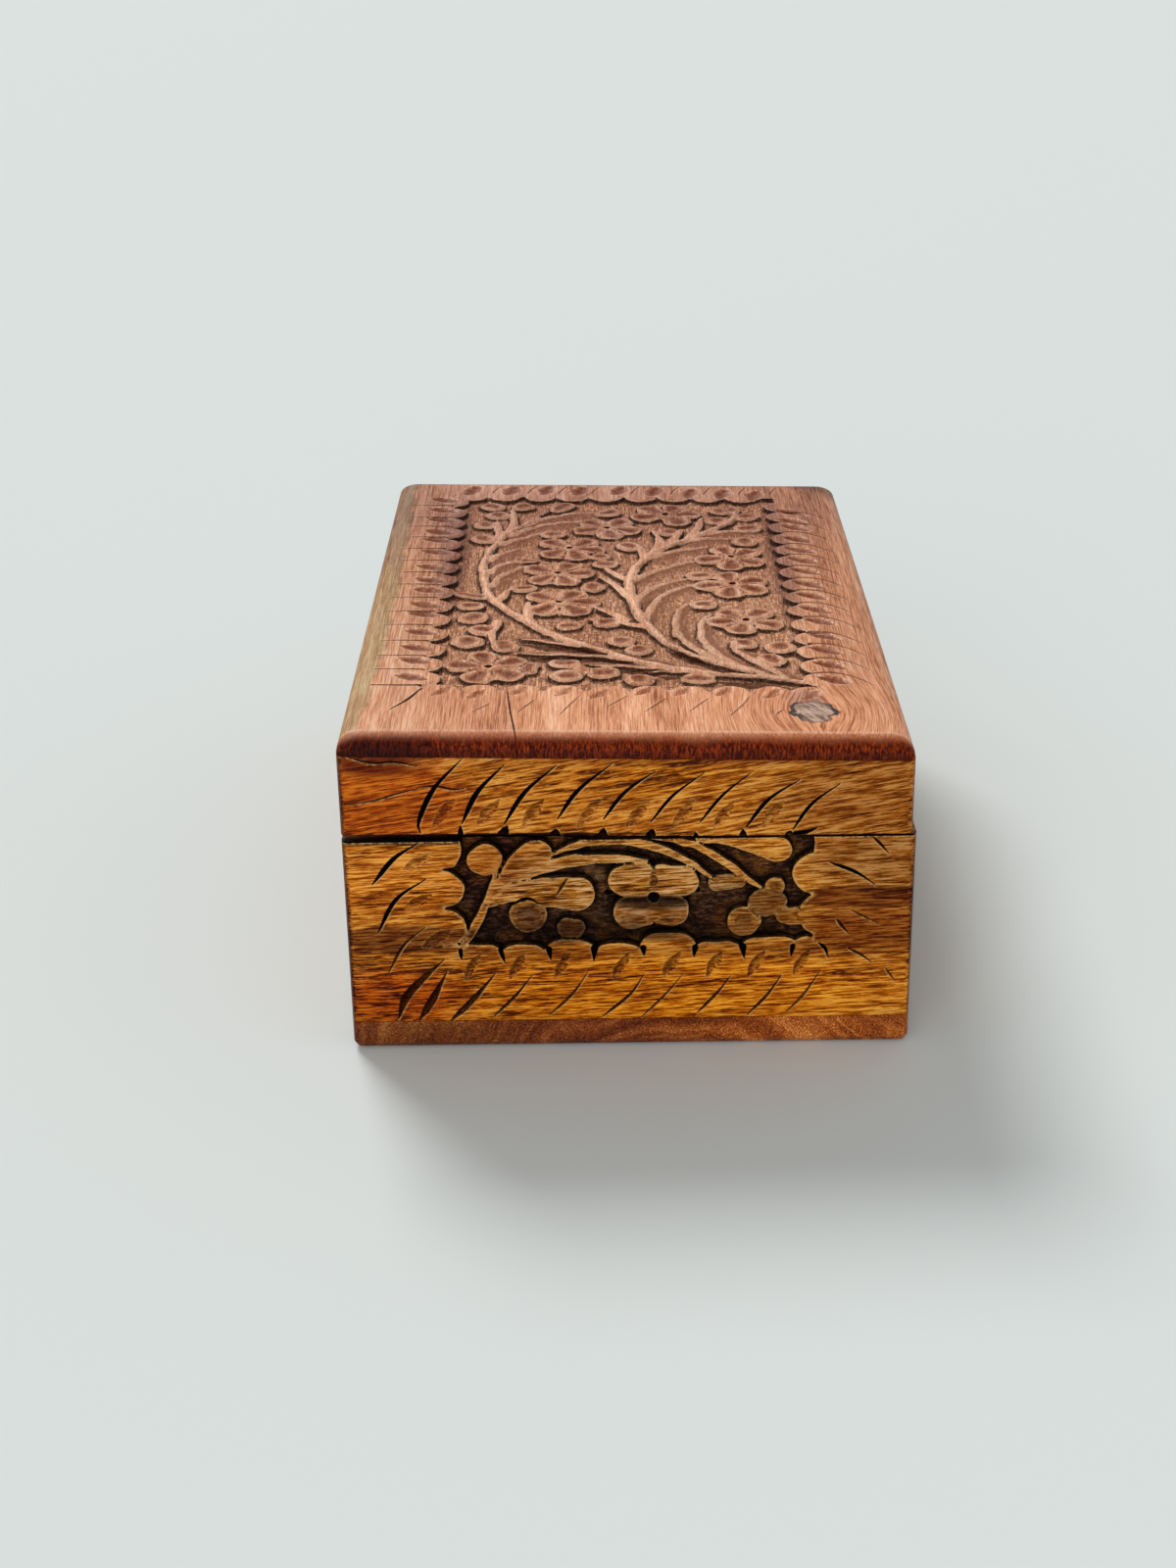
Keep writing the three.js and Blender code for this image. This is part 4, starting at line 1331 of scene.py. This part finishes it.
def lid_end_carving(seed):
    """The arcs, gouges and notches of an end of the lid."""
    relief = Relief(None, panel_depth, seed)
    for arc, wide in (
        (((-36, 42.3), (-36.2, 44.5), (-33.4, 50.4), (-28.3, 56)), 0.46),
        (((-28.7, 44), (-25.8, 49.9), (-21, 55)), 0.46),
        (((-21.3, 44), (-17.6, 49.9), (-12, 55)), 0.4),
        (((-12, 45), (-8.4, 50.3), (-2.5, 55.3)), 0.36),
        (((-4, 45), (-0.3, 50), (5, 54)), 0.32),
        (((4.2, 44.5), (8.1, 49.5), (13.5, 53.8)), 0.26),
        (((12.8, 44.5), (16.6, 49.5), (21.5, 53.8)), 0.26),
        (((20.8, 43.5), (24.7, 48.8), (30, 52.5)), 0.34),
        (((29, 43), (32.2, 47.9), (37, 51.8)), 0.3),
    ):
        relief.cut(arc, (0.08, wide * 0.85, wide, wide * 0.7, wide * 0.4, 0.04), 0.9)
    for u in (-31.7, -24, -16.2, -6.5, 2, 10, 17, 25.5):
        gouge(relief, u, 46.0, (3.6, 4.8), 0.9, 0.75)
    for u, wide, tall, lean in (
        (-29, 0.6, 1.8, 0), (-21.6, 1.1, 1.9, 0.8), (-12.5, 1.1, 1.3, 0.2), (-4.2, 1.0, 1.6, 0.2),
        (4.2, 1.0, 1.4, 0.4), (12.1, 0.6, 0.8, 0), (20.3, 0.8, 1.4, 0), (28.4, 0.9, 1.0, 0.2),
    ):
        relief.cut(((u, 41.2), (u, 41.9), (u + lean, 41.6 + tall)), (wide, wide * 0.8, 0.15), 1.7)
    relief.cut(((29.5, 42.1), (31.4, 42.5), (33.2, 43.2)), (0.5, 0.4, 0.1), 0.9)
    return relief


top_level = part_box("top_board")[1].z * 1000


def lid_lean(x, y, z):
    """How far the lid's wood has moved where it warped. It stands a little open at the front,
    and is lower at the back."""
    at_seam = np.interp(y, (-50, -28, -5, 15, 50), (0.65, 0.6, 0.1, -0.3, -0.32))
    at_joint = np.interp(y, (-50, 50), (1.25, -1.0))
    at_top = np.interp(y, (-50, 50), (0.0, -2.1))
    inward = -0.7 * (y / box_width + 0.5)
    return 0.0, inward, np.interp(z, (lid_low, lid_high, top_level), (at_seam, at_joint, at_top))


lid_end_size = (box_width / 2, lid_low, lid_high)
lid_end_rounds = (1.0, 1.0, 0.25, 0.15)
lid_right_relief = lid_end_carving(21)
for crack, wide in (
    (((-48, 56.2), (-44, 55.2), (-40, 55.4), (-36, 54.7)), 0.16),
    (((-49, 47.6), (-44, 48.3), (-40, 49.5), (-36, 50.6)), 0.1),
    (((-36, 50.8), (-33, 51), (-30, 50.4), (-28, 50.6)), 0.2),
):
    lid_right_relief.cut(crack, (0.04, wide, wide, 0.04), 0.4, 0.85)
make_wall(
    "lid_right_wall",
    right_way,
    lid_end_size,
    lid_end_rounds,
    end_cell,
    lid_right_relief,
    (math.radians(-9), 0, math.radians(-90)),
    (25, 40, -8),
    (
        ((0.78, 0.38, 0.05), (76, -42, 49), (20, 15, 9), 0.9, 0.4),
        ((1.04, 0.96, 0.8), (76, -2, 48), (20, 26, 9), 0.8, 0.5),
        ((0.58, 0.5, 0.62), (76, 42, 49), (20, 17, 9), 0.8, 0.5),
        ((1.1, 1.15, 0.8), (76, 4, 53), (20, 10, 3), 0.7, 0.5),
        ((0.22, 0.08, 0.05), (76, -43, 56), (20, 8, 2.3), 0.95, 0.5),
        ((0.5, 0.36, 0.3), (76, 20, 56.5), (20, 40, 1.6), 0.8, 0.6),
        # Painted shadow in the seam gap under the lid's lower edge.
        ((0.04, 0.02, 0.01), (77, -34, 42.2), (3, 44, 0.5), 1.0, 0.3),
        ((0.12, 0.07, 0.06), (76, -50.3, 49), (2.2, 1.1, 10), 0.95, 0.4),
        ((0.3, 0.3, 0.25), (76, 50, 49), (2.2, 0.9, 10), 0.9, 0.4),
    ),
    lean=lid_lean,
)

# Left end wall of the lid.
# The same narrow board and arcs over the base's left end. It is carved free-hand once more,
# and glued under the top board as the right one is.
make_wall(
    "lid_left_wall",
    left_way,
    lid_end_size,
    lid_end_rounds,
    end_cell,
    lid_end_carving(22),
    end_grain,
    (-25, 36, -20),
    (((0.9, 0.6, 0.3), (-76, 36, 49), (20, 18, 9), 0.7, 0.5),),
    lean=lid_lean,
)

# Front wall of the lid.
# A narrow board between the lid's end walls, glued under the top board. Arcs and gouges run
# along it, and notches in its lower edge meet the base's sunk panel.


def lid_border(relief):
    """Arcs and gouges along a long wall of the lid, a little uneven."""
    for u in np.arange(-64, 58, 8.4):
        u += free_hand.uniform(-0.5, 0.5)
        arc = ((u, 44.2), (u + 3.4, 50), (u + 8.8, 54.2 + free_hand.uniform(-0.5, 0.5)))
        relief.cut(arc, (0.08, 0.34, 0.4, 0.28, 0.16, 0.04), 0.9)
        gouge(relief, u + 5.2, 46.0, (3.6, 4.8), 0.9, 0.75)


lid_long_size = (long_half, lid_low, lid_high)
lid_long_rounds = (0.1, 0.1, 0.25, 0.15)
lid_front_relief = Relief(None, panel_depth, 23)
lid_border(lid_front_relief)
for u in np.arange(-54, 55, 8.4):
    wide = free_hand.uniform(0.7, 1.1)
    lid_front_relief.cut(((u, 41.2), (u, 41.9), (u + 0.3, 42.9)), (wide, wide * 0.8, 0.15), 1.6)
make_wall(
    "lid_front_wall",
    front_way,
    lid_long_size,
    lid_long_rounds,
    1.0,
    lid_front_relief,
    long_grain,
    (0, -30, 10),
    (((0.85, 0.6, 0.35), (46, -50, 49), (24, 20, 9), 0.7, 0.5),),
    lean=lid_lean,
)

# Back wall of the lid.
# A narrow board between the lid's end walls, glued under the top board. It has the same arcs
# and gouges, and is let in over the hinges as the base's back wall is.
lid_back_relief = Relief(None, panel_depth, 24)
lid_border(lid_back_relief)
let_in_hinges(lid_back_relief, lid_low, 1)
make_wall(
    "lid_back_wall",
    back_way,
    lid_long_size,
    lid_long_rounds,
    1.0,
    lid_back_relief,
    long_grain,
    (-15, 34, 4),
    lean=lid_lean,
)

# Top board.
# A board of pinkish hardwood over the whole lid, rounded over on all sides down to the walls.
# Its panel is sunk 1.4 mm round three vines with flowers, buds and curved blades, inside a
# border of lobes with a gouge in each. It is worn, stained in the hollows, and has a knot.
# Highlights and shade are painted on its carving, a highlight line is painted along the near
# end's rounding, and light is painted brighter at the near end and falling off to the far end.
top_thickness = top_level - lid_high
top_way = facing((0, 1, 0), (-1, 0, 0), (0, 0, 1), (0, 0, top_level))
top_relief = Relief(
    ((-36.4, -53.2), (35.4, 64.2)), 1.4, 31, levels=1,
    wall=0.4, edge_roll=1.0, roll_drop=0.4, foot_width=0.3, crease=0.4,
    wobble=0.2, dish=0.64, stain_and_shade=1.3, worn_lip_and_highlight=0.8,
)

# The border's lobes, their gouges and the knife cuts between them, along the front, the back,
# the near end and the far end.
for v in (60.3, 52.2, 44.8, 37.8, 30.1, 22.5, 14.8, 7.2, -0.4, -8.3, -16.1, -24.3, -32.5, -40, -47.4):
    top_relief.stem(((-40, v + 0.6), (-37.0, v - 0.5)), (3.7, 3.55))
for v in (60.5, 53, 46, 37.5, 32, 24, 14, 6, 0, -8.7, -14, -24, -32.5, -39, -47.5):
    top_relief.scoop(((-41.9, v + 1.2), (-38.6, v), (-35.6, v - 1.1)), (0.35, 1.5, 2.0, 1.4, 0.4), 0.85, 1.25)
for v in (56.5, 48, 41.5, 34, 26.3, 18.6, 11, 3.5, -4.3, -12.3, -20, -28.6, -36.5, -43.5, -51.3):
    top_relief.cut(((-37, v), (-41, v + 0.1), (-46, v)), (0.4, 0.26, 0.1), 0.45, 0.6)
for v in (57.5, 50.2, 42.7, 35, 27.5, 20.2, 12.8, 5.2, -2.2, -10, -18.2, -25.8, -32.8, -40.2, -47):
    top_relief.stem(((40, v - 1.4), (36.4, v)), (3.6, 3.45))
for v in (53, 46.5, 42, 34, 26.7, 20, 13, 5, -2, -10, -16.5, -24.5, -32.5, -40, -47.5):
    top_relief.scoop(((35.4, v + 1.6), (38.4, v), (41.4, v - 2.3)), (0.45, 1.5, 1.9, 1.3, 0.3), 0.85, 1.2)
for v in (54, 46.3, 39, 31, 24, 16.5, 9, 1.5, -6, -14, -22.5, -29, -36.5, -44):
    knife = ((35.5, v), (39.5, v - 0.4), (43, v - 3), (45.5, v - 6.5))
    top_relief.cut(knife, (0.45, 0.34, 0.26, 0.08), 0.4, 0.45)
for u in (-33.3, -26, -18.5, -10.7, -2.7, 4.7, 11.7, 19.2, 26.7, 33.5):
    top_relief.stem(((u, -56), (u, -54.1)), (3.7, 3.6))
for u, v in (
    (-33, -54), (-26.5, -55.5), (-19, -53.5), (-11, -54), (-4.5, -55),
    (3.5, -53.5), (10.5, -53.5), (18, -53.5), (26.5, -54.5), (33.5, -55),
):
    top_relief.scoop(((u + 1.2, v + 1.9), (u + 0.4, v), (u - 1.3, v - 2)), (0.6, 1.4, 0.5), 0.7, 0.75)
top_relief.cut(((-36.5, -52.5), (-38.6, -58), (-41.5, -63)), (0.1, 0.3, 0.08), 0.5, 0.9)
for arc in (
    ((-24, -60), (-27, -64)),
    ((-16, -58), (-19, -64)),
    ((-8, -56), (-9.6, -60), (-11.5, -65)),
    ((0.5, -56), (-3, -61)),
    ((7.5, -57), (3.5, -63.5)),
    ((15, -57), (11.5, -63)),
    ((22.5, -56), (21, -60), (18.5, -65)),
    ((28, -62), (26.5, -64.5)),
):
    top_relief.cut(arc, (0.1, 0.2, 0.08), 0.25, 0.4)
top_relief.cut(((-37, -51.2), (-40, -51.4), (-46, -51.4)), (0.35, 0.3, 0.12), 0.5, 0.8)
for u in (-33, -25.5, -17.5, -10, -2.5, 5.3, 12.8, 20.2, 28):
    top_relief.stem(((u, 67), (u, 64.6)), (3.7, 3.6))
for u, v in (
    (-33, 68), (-24, 68), (-16, 68.5), (-8.5, 68), (0.5, 68.5), (8.5, 68), (16.5, 67), (24, 66.5), (31, 65.5),
):
    top_relief.scoop(((u - 0.7, v - 2.4), (u, v), (u + 0.7, v + 2.4)), (1.3, 2.2, 1.4), 0.9, 1.3)
for u in (-27.5, -19.5, -12.5, -5, 4, 13, 20.5, 28.5, 35.5):
    top_relief.cut(((u - 0.8, 66), (u, 69), (u + 1.2, 71.5)), (0.25, 0.2, 0.08), 0.3, 0.35)

# The two long stems, their sloping blades, the twigs, the flowers and the buds.
top_relief.stem(
    (
        (33, -48), (25, -45.6), (15, -43.6), (8, -40.5), (0, -36), (-5, -31.5), (-10, -27.5), (-15, -22),
        (-19, -16), (-23, -9.5), (-26, -3), (-27.5, 5), (-28.3, 15), (-28, 22), (-27, 28), (-25.3, 34),
        (-24, 38), (-21, 43), (-18, 49), (-15.5, 54),
    ),
    (0.7, 0.95, 1.2, 1.15, 1.1, 1.0, 0.95, 0.9, 0.75, 0.45),
    sag=-0.25,
)
top_relief.stem(
    (
        (24, -43.5), (18, -39), (12, -33), (8, -27), (5.5, -20), (3.5, -13), (2.3, -5), (1.8, 3), (2.2, 10),
        (4, 18), (6.5, 24), (10, 29.5), (14.5, 34), (18, 38.5), (21.5, 42.5), (25, 48), (26, 53),
    ),
    (0.6, 0.8, 1.0, 1.1, 1.15, 1.15, 1.1, 1.0, 0.9, 0.8),
    sag=-0.25,
)
for blade, halves in (
    (((30, -46), (26, -44), (20, -39), (15, -33), (11.5, -26), (10.5, -18)), (0.5, 0.8, 0.9, 0.7, 0.3)),
    (((26, -43.5), (22, -40), (18, -34), (15.5, -27), (15, -20)), (0.5, 0.7, 0.75, 0.3)),
    (((30, -45), (25, -38), (22, -33), (20.5, -29.5)), (0.4, 0.9, 0.8, 0.3)),
):
    top_relief.stem(blade, halves, slope=3.0)
for blade in (
    ((-23, 37), (-19, 42), (-14, 45.5), (-8, 47)),
    ((-21, 43), (-17, 48), (-12, 51.5), (-5, 53.5)),
    ((-25, 31), (-21, 35), (-16.5, 38)),
    ((-27, 20), (-25.5, 24), (-22.5, 27)),
    ((-26.8, 12), (-25, 17), (-20, 20.5)),
    ((-26, 4), (-25, 9), (-22, 14), (-19.5, 16)),
    ((8, -40.5), (3, -37.3), (-8, -34.8), (-19, -34.4)),
    ((3, -37.5), (-2, -34), (-8, -30), (-19, -26.5)),
    ((12, -42), (5, -41), (-6, -39.7)),
    ((14, -43.5), (9, -42.8), (5, -43)),
    ((14.5, 33.5), (19, 35.5), (24, 35.5)),
    ((18, 38), (23, 40.6), (29, 41)),
    ((6, 22), (12, 27), (18.5, 29.6)),
    ((3, 8), (6, 12.5), (10, 16.5), (16, 20.5)),
    ((2.3, -7), (5, 1), (9, 6), (13.5, 9.5)),
    ((4.5, -15), (6.5, -6), (9, 0), (13, 4), (18, 7)),
    ((10.5, -24), (10.5, -15), (12, -8), (14, -5)),
    ((15, -25), (15.5, -17), (17.5, -12)),
):
    top_relief.stem(blade, (0.75, 0.6, 0.5, 0.25), slope=3.0)
for twig in (
    ((-24, 38), (-23, 43), (-23, 50), (-23.5, 55)),
    ((-25.5, 35), (-26, 40), (-26.5, 46)),
    ((2, -4), (-1, 4), (-4, 9)),
    ((1, 8), (-1, 11), (-3, 15)),
    ((5.5, 21), (5, 25), (4.6, 29)),
    ((7, 25), (8.8, 32), (8.3, 37), (7.4, 40)),
    ((10, 30.5), (12.5, 36), (13.6, 41)),
    ((15, 35), (17, 41), (18.4, 49)),
    ((-25, -6), (-23.6, -3), (-22.4, 2)),
    ((-17, -19), (-18.6, -12), (-18.4, -6)),
    ((-24, -17), (-25, -24), (-24.5, -30)),
    ((1, -16), (-2, -12), (-6, -8)),
    ((5, -20), (-1, -17), (-6, -16)),
):
    top_relief.stem(twig, (0.9, 0.9, 0.8, 0.35))
for middle, radius, turns in (
    ((-10.5, 28), 7.2, (135, 50, -12, -72, 228)),
    ((-12.8, 11.7), 7.2, (5, 67, 146, 230, 289)),
    ((-12.3, -6), 7.8, (5, 63, 134, 234, 308)),
    ((-25, -41.5), 7.6, (35, 102, 168, 250, 318)),
    ((10.5, 51.7), 7.4, (8, 68, 130, 200, 300)),
    ((-2.5, 42), 7.0, (-15, 52, 132, 200, 278)),
    ((23.5, 22.5), 7.2, (45, 105, 192, 268, 326)),
    ((22.8, 5.5), 7.4, (27, 98, 188, 262, 328)),
    ((24.3, -15.5), 7.2, (58, 128, 190, 255, 335)),
):
    top_relief.flower(middle, radius * 1.08, turns, petal=0.41)
for petal in ((-10.2, -39.3), (-9.8, -44.4), (-4.2, -43.2)):
    top_relief.stem(((-7.1, -41.5), petal), (1.0, 1.7), -0.15)
for middle, length, width, turn in (
    ((-10.9, -38.9), 5.6, 4.8, 0), ((-10.4, -45.2), 5.6, 5.2, 10), ((-3.6, -43.6), 5.8, 5.4, 0),
    ((-17.6, -41.6), 5.2, 3.4, 80), ((-29, 34.5), 5.6, 5, 110), ((-29, 44), 5.2, 4.6, 90),
    ((-26.6, 50.8), 5, 4.8, 90), ((-28, 57), 5.4, 4.4, 130), ((-21, 57.2), 5, 4.6, 60),
    ((-12.4, 57), 6.4, 4, 60), ((-2, 53), 5.6, 4.4, 30), ((-14, 37.6), 5, 4.6, 20),
    ((-30, -1.8), 6.4, 2.8, -20), ((-29.7, -8), 5, 4.2, 0), ((-29, -14.8), 6, 5.2, 60),
    ((-26.8, -21.6), 4.2, 5, 0), ((-29.4, -28), 6, 5.6, 80), ((-22.4, -29.8), 6, 4.6, 100),
    ((-19.6, 20), 4.6, 2.4, -10), ((-2.8, -17), 5.2, 4.8, 30), ((-10.2, -19), 4.8, 3.2, 10),
    ((-0.2, -27), 5, 4.6, 70), ((3.2, -31.6), 5, 4.6, 60), ((-5.6, 3.6), 5.4, 4.4, 80),
    ((-19.6, 2.8), 5, 4.4, 20), ((-3, 18), 5.2, 4.4, 0), ((-4, 23), 4.4, 4, 0),
    ((2.1, 29.6), 5.4, 4.8, 130), ((11, 39.6), 4.8, 4.6, 80), ((21.8, 47.8), 4.8, 4.6, 60),
    ((22.6, 54.8), 4.4, 4, 90), ((25.4, 55.4), 3.6, 3.2, 90), ((28.6, 51), 5, 4.4, 20),
    ((28.2, 42.6), 5.6, 4.6, 10), ((27, 33.6), 5, 5, 90), ((16.6, 11), 5.4, 4.8, 10),
    ((16.4, -6.4), 5, 4.6, 10), ((23.2, -28), 4.8, 4.6, 90), ((30, -30), 4.8, 5.4, 90),
    ((27.8, -36.4), 6, 4.6, 110), ((3, -46.8), 5.4, 5, 90), ((13.8, -46.3), 5.8, 4, 0),
):
    top_relief.leaf(middle, length * 1.12, width * 1.16, turn)

# A crack at the near end, and the shadowed undercuts below the blades.
top_relief.cut(((-21, -54), (-20.4, -62), (-19.6, -69), (-18.6, -78)), (0.1, 0.14, 0.14), 0.5, 0.8)
for undercut, halves in (
    (((-19.5, -28), (-14, -30), (-8, -31.8), (-3, -34.7)), (0.2, 1.1, 1.1, 0.2)),
    (((-20, -35.8), (-13, -36.3), (-8, -36.5), (-2, -37.4), (2, -38.6)), (0.2, 1.1, 1.1, 0.7, 0.1)),
    (((-1.2, -41.6), (1.5, -42.2), (5, -42.5), (7.5, -42.7)), (0.15, 0.9, 0.95, 0.15)),
    (((6.2, -44.4), (8.4, -44.9), (10.6, -44.6)), (0.15, 0.85, 0.15)),
    (((16.5, -46.4), (20, -47.5), (25, -48.6), (29, -49.5), (31.5, -49.9)), (0.15, 1.2, 1.5, 1.1, 0.15)),
    (((8.1, -30.6), (10.8, -34.1), (13.8, -37.3), (16.8, -40.1), (20.5, -42.8)), (0.15, 0.9, 0.8, 0.5, 0.1)),
):
    top_relief.cut(undercut, halves, 0.35, 0.75)

top_board = board(
    "top_board_wood",
    top_way,
    (-box_width / 2, -box_length / 2),
    (box_width / 2, box_length / 2),
    top_thickness,
    (4.2, 4.2, 4.2, 4.2),
    1.0,
    corner=(4.5, 1.2),
    relief=top_relief,
    lean=lid_lean,
)
# The top's carving colours: pale rims of wear and painted highlight, painted shade and dirt on the walls and
# at their foot, painted shade on blade slopes, and cuts dark with dirt and painted shade.
top_marks = {
    "Worn Rim And Highlight Colour": shade(252, 210, 180),
    "Hollow Colour": shade(110, 44, 14),
    "Ground Colour": shade(246, 182, 142),
    "Chisel And Slope Shade Colour": shade(142, 86, 56),
    "Wall Shade And Dirt Colour": shade(40, 16, 6),
    "Cut Colour": shade(60, 24, 8),
    "Worn Rim And Highlight Share": 0.95,
    "Hollow Share": 0.9,
    "Ground Share": 0.85,
    "Slope Shade Share": 0.85,
    "Wall Reach": 0.75,
}


def worn_and_highlit_top(tree, place, grain, colour, roughness, height):
    """The top's carving marks, and its rounded near end: a painted highlight line where the rounding
    starts, then dark red varnish with paler hairs of grain across it."""
    colour, roughness, height = mark_carving(top_marks, tree, place, grain, colour, roughness, height)
    along = add_node(tree, "ShaderNodeSeparateXYZ", {0: place}).outputs["X"]
    hair = cloud(tree, place, (0.8, 2.6, 0.8), 5, 0.8)
    drift = cloud(tree, place, (0.1, 0.16, 0.1), 2)
    start = maths(tree, "MULTIPLY_ADD", hair, 2.4, maths(tree, "MULTIPLY_ADD", drift, 1.6, along))
    orange = product(tree, ramp(tree, start, 73.2, 75.4), ramp(tree, hair, 0.4, 0.6, 0.85, 0.35))
    colour = blend_colours(tree, orange, colour, shade(172, 92, 50))
    dark = blend_colours(tree, ramp(tree, hair, 0.44, 0.6), shade(54, 0, 0), shade(152, 56, 8))
    colour = blend_colours(tree, ramp(tree, start, 74.6, 77.2), colour, dark)
    lowest = ramp(tree, maths(tree, "MULTIPLY_ADD", drift, 0.6, along), 75.9, 76.4, 0.0, 0.6)
    colour = blend_colours(tree, lowest, colour, shade(50, 12, 2))
    # A painted highlight line where the rounding starts.
    rising = ramp(tree, along, 71.5, 72.1)
    falling = ramp(tree, along, 72.3, 72.9, 1.0, 0.0)
    pale = product(tree, rising, falling, ramp(tree, hair, 0.4, 0.6, 0.1, 0.6))
    return blend_colours(tree, pale, colour, shade(240, 196, 168)), roughness, height


top_finish = wood(
    "top_board_finish",
    (0, 0, 0),
    (0, 22, -20),
    (shade(140, 74, 38), shade(202, 132, 92), shade(228, 164, 124), shade(250, 202, 170)),
    (0.3, 0.3, 0.6, 0.3),
    5.8,
    0.5,
    grain=(0.45, 1.7, 1.7),
    carved=worn_and_highlit_top,
    patches=(
        # The first four patches: the near end lighter and the sides and far end darker, partly the wood's own
        # tone and partly painted light that falls off away from the near end.
        ((1.03, 0.98, 0.92), (62, 0, 61), (16, 60, 8), 0.9, 0.5),
        ((0.76, 0.74, 0.7), (-8, -41, 61), (64, 6, 8), 0.8, 0.5),
        ((0.76, 0.72, 0.68), (-8, 43, 61), (64, 8, 8), 0.8, 0.5),
        ((0.66, 0.64, 0.7), (-64, 0, 61), (26, 70, 8), 0.8, 0.7),
        ((0.57, 0.69, 0.54), (0, -51, 59), (120, 6.3, 8), 0.95, 0.12),
        ((0.75, 0.72, 0.8), (-56, -51, 59), (40, 7, 8), 0.7, 0.4),
        ((0.45, 0.5, 0.5), (-74, 48, 59), (9, 8, 8), 0.9, 0.4),
        ((0.74, 0.84, 0.66), (-76, 0, 59), (4, 60, 6), 0.85, 0.5),
        ((0.6, 0.58, 0.72), (56.4, 31.8, 60), (5, 3.4, 6), 0.85, 0.5),
    ),
    stains_and_shade=(
        ((0.42, 0.34, 0.38), (-26, -34.6, 59), (36, 3.0, 8), 0.85, 0.5),
        ((0.42, 0.34, 0.36), (-24, 33.4, 59), (38, 2.6, 8), 0.85, 0.5),
        ((0.2, 0.08, 0.1), (76.5, -42, 58), (3, 8, 4), 0.85, 0.5),
        # Painted shade: the far half darker, as the light falls off towards it.
        ((0.84, 0.78, 0.8), (-52, 0, 59), (38, 60, 8), 0.8, 0.6),
        ((0.84, 0.79, 0.75), (63, -34, 61), (12, 18, 8), 0.8, 0.5),
    ),
    shine=0.07,
    knot=((62.4, 33.1, 59.6), (5.0, 4.0, 5)),
)
finish_piece(top_board, top_finish, "lid", "top_board")

# Hinges.
# Two butt hinges of brass sheet with steel pins, held by slotted brass screws. They are left
# bare and have gone dull, with darker tarnish in spots.


def metal(name, colour, tarnish, rough):
    """A dull metal with cloudy tarnish and fine scratches."""
    material, tree, shader = new_material(name)
    place = in_millimetres(tree)
    clouds = ramp(tree, cloud(tree, place, (0.35, 0.35, 0.35), 4, 0.65), 0.42, 0.68)
    scratches = cloud(tree, place, (0.4, 5.0, 5.0), 3)
    colour = blend_colours(tree, clouds, colour, tarnish)
    roughness = maths(tree, "MULTIPLY_ADD", scratches, 0.12, maths(tree, "MULTIPLY_ADD", clouds, 0.25, rough))
    shader.inputs["Metallic"].default_value = 1.0
    dress(tree, shader, colour, roughness, scratches, 0.04 * MM, 0.5)
    return material


hinge_brass = metal("hinge_brass_finish", shade(190, 152, 84), shade(104, 74, 38), 0.3)
pin_steel = metal("pin_steel_finish", shade(150, 148, 144), shade(88, 80, 72), 0.35)
for name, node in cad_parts.items():
    if name.startswith("hinge"):
        node.material_slots[0].material = pin_steel if name.endswith("pin") else hinge_brass
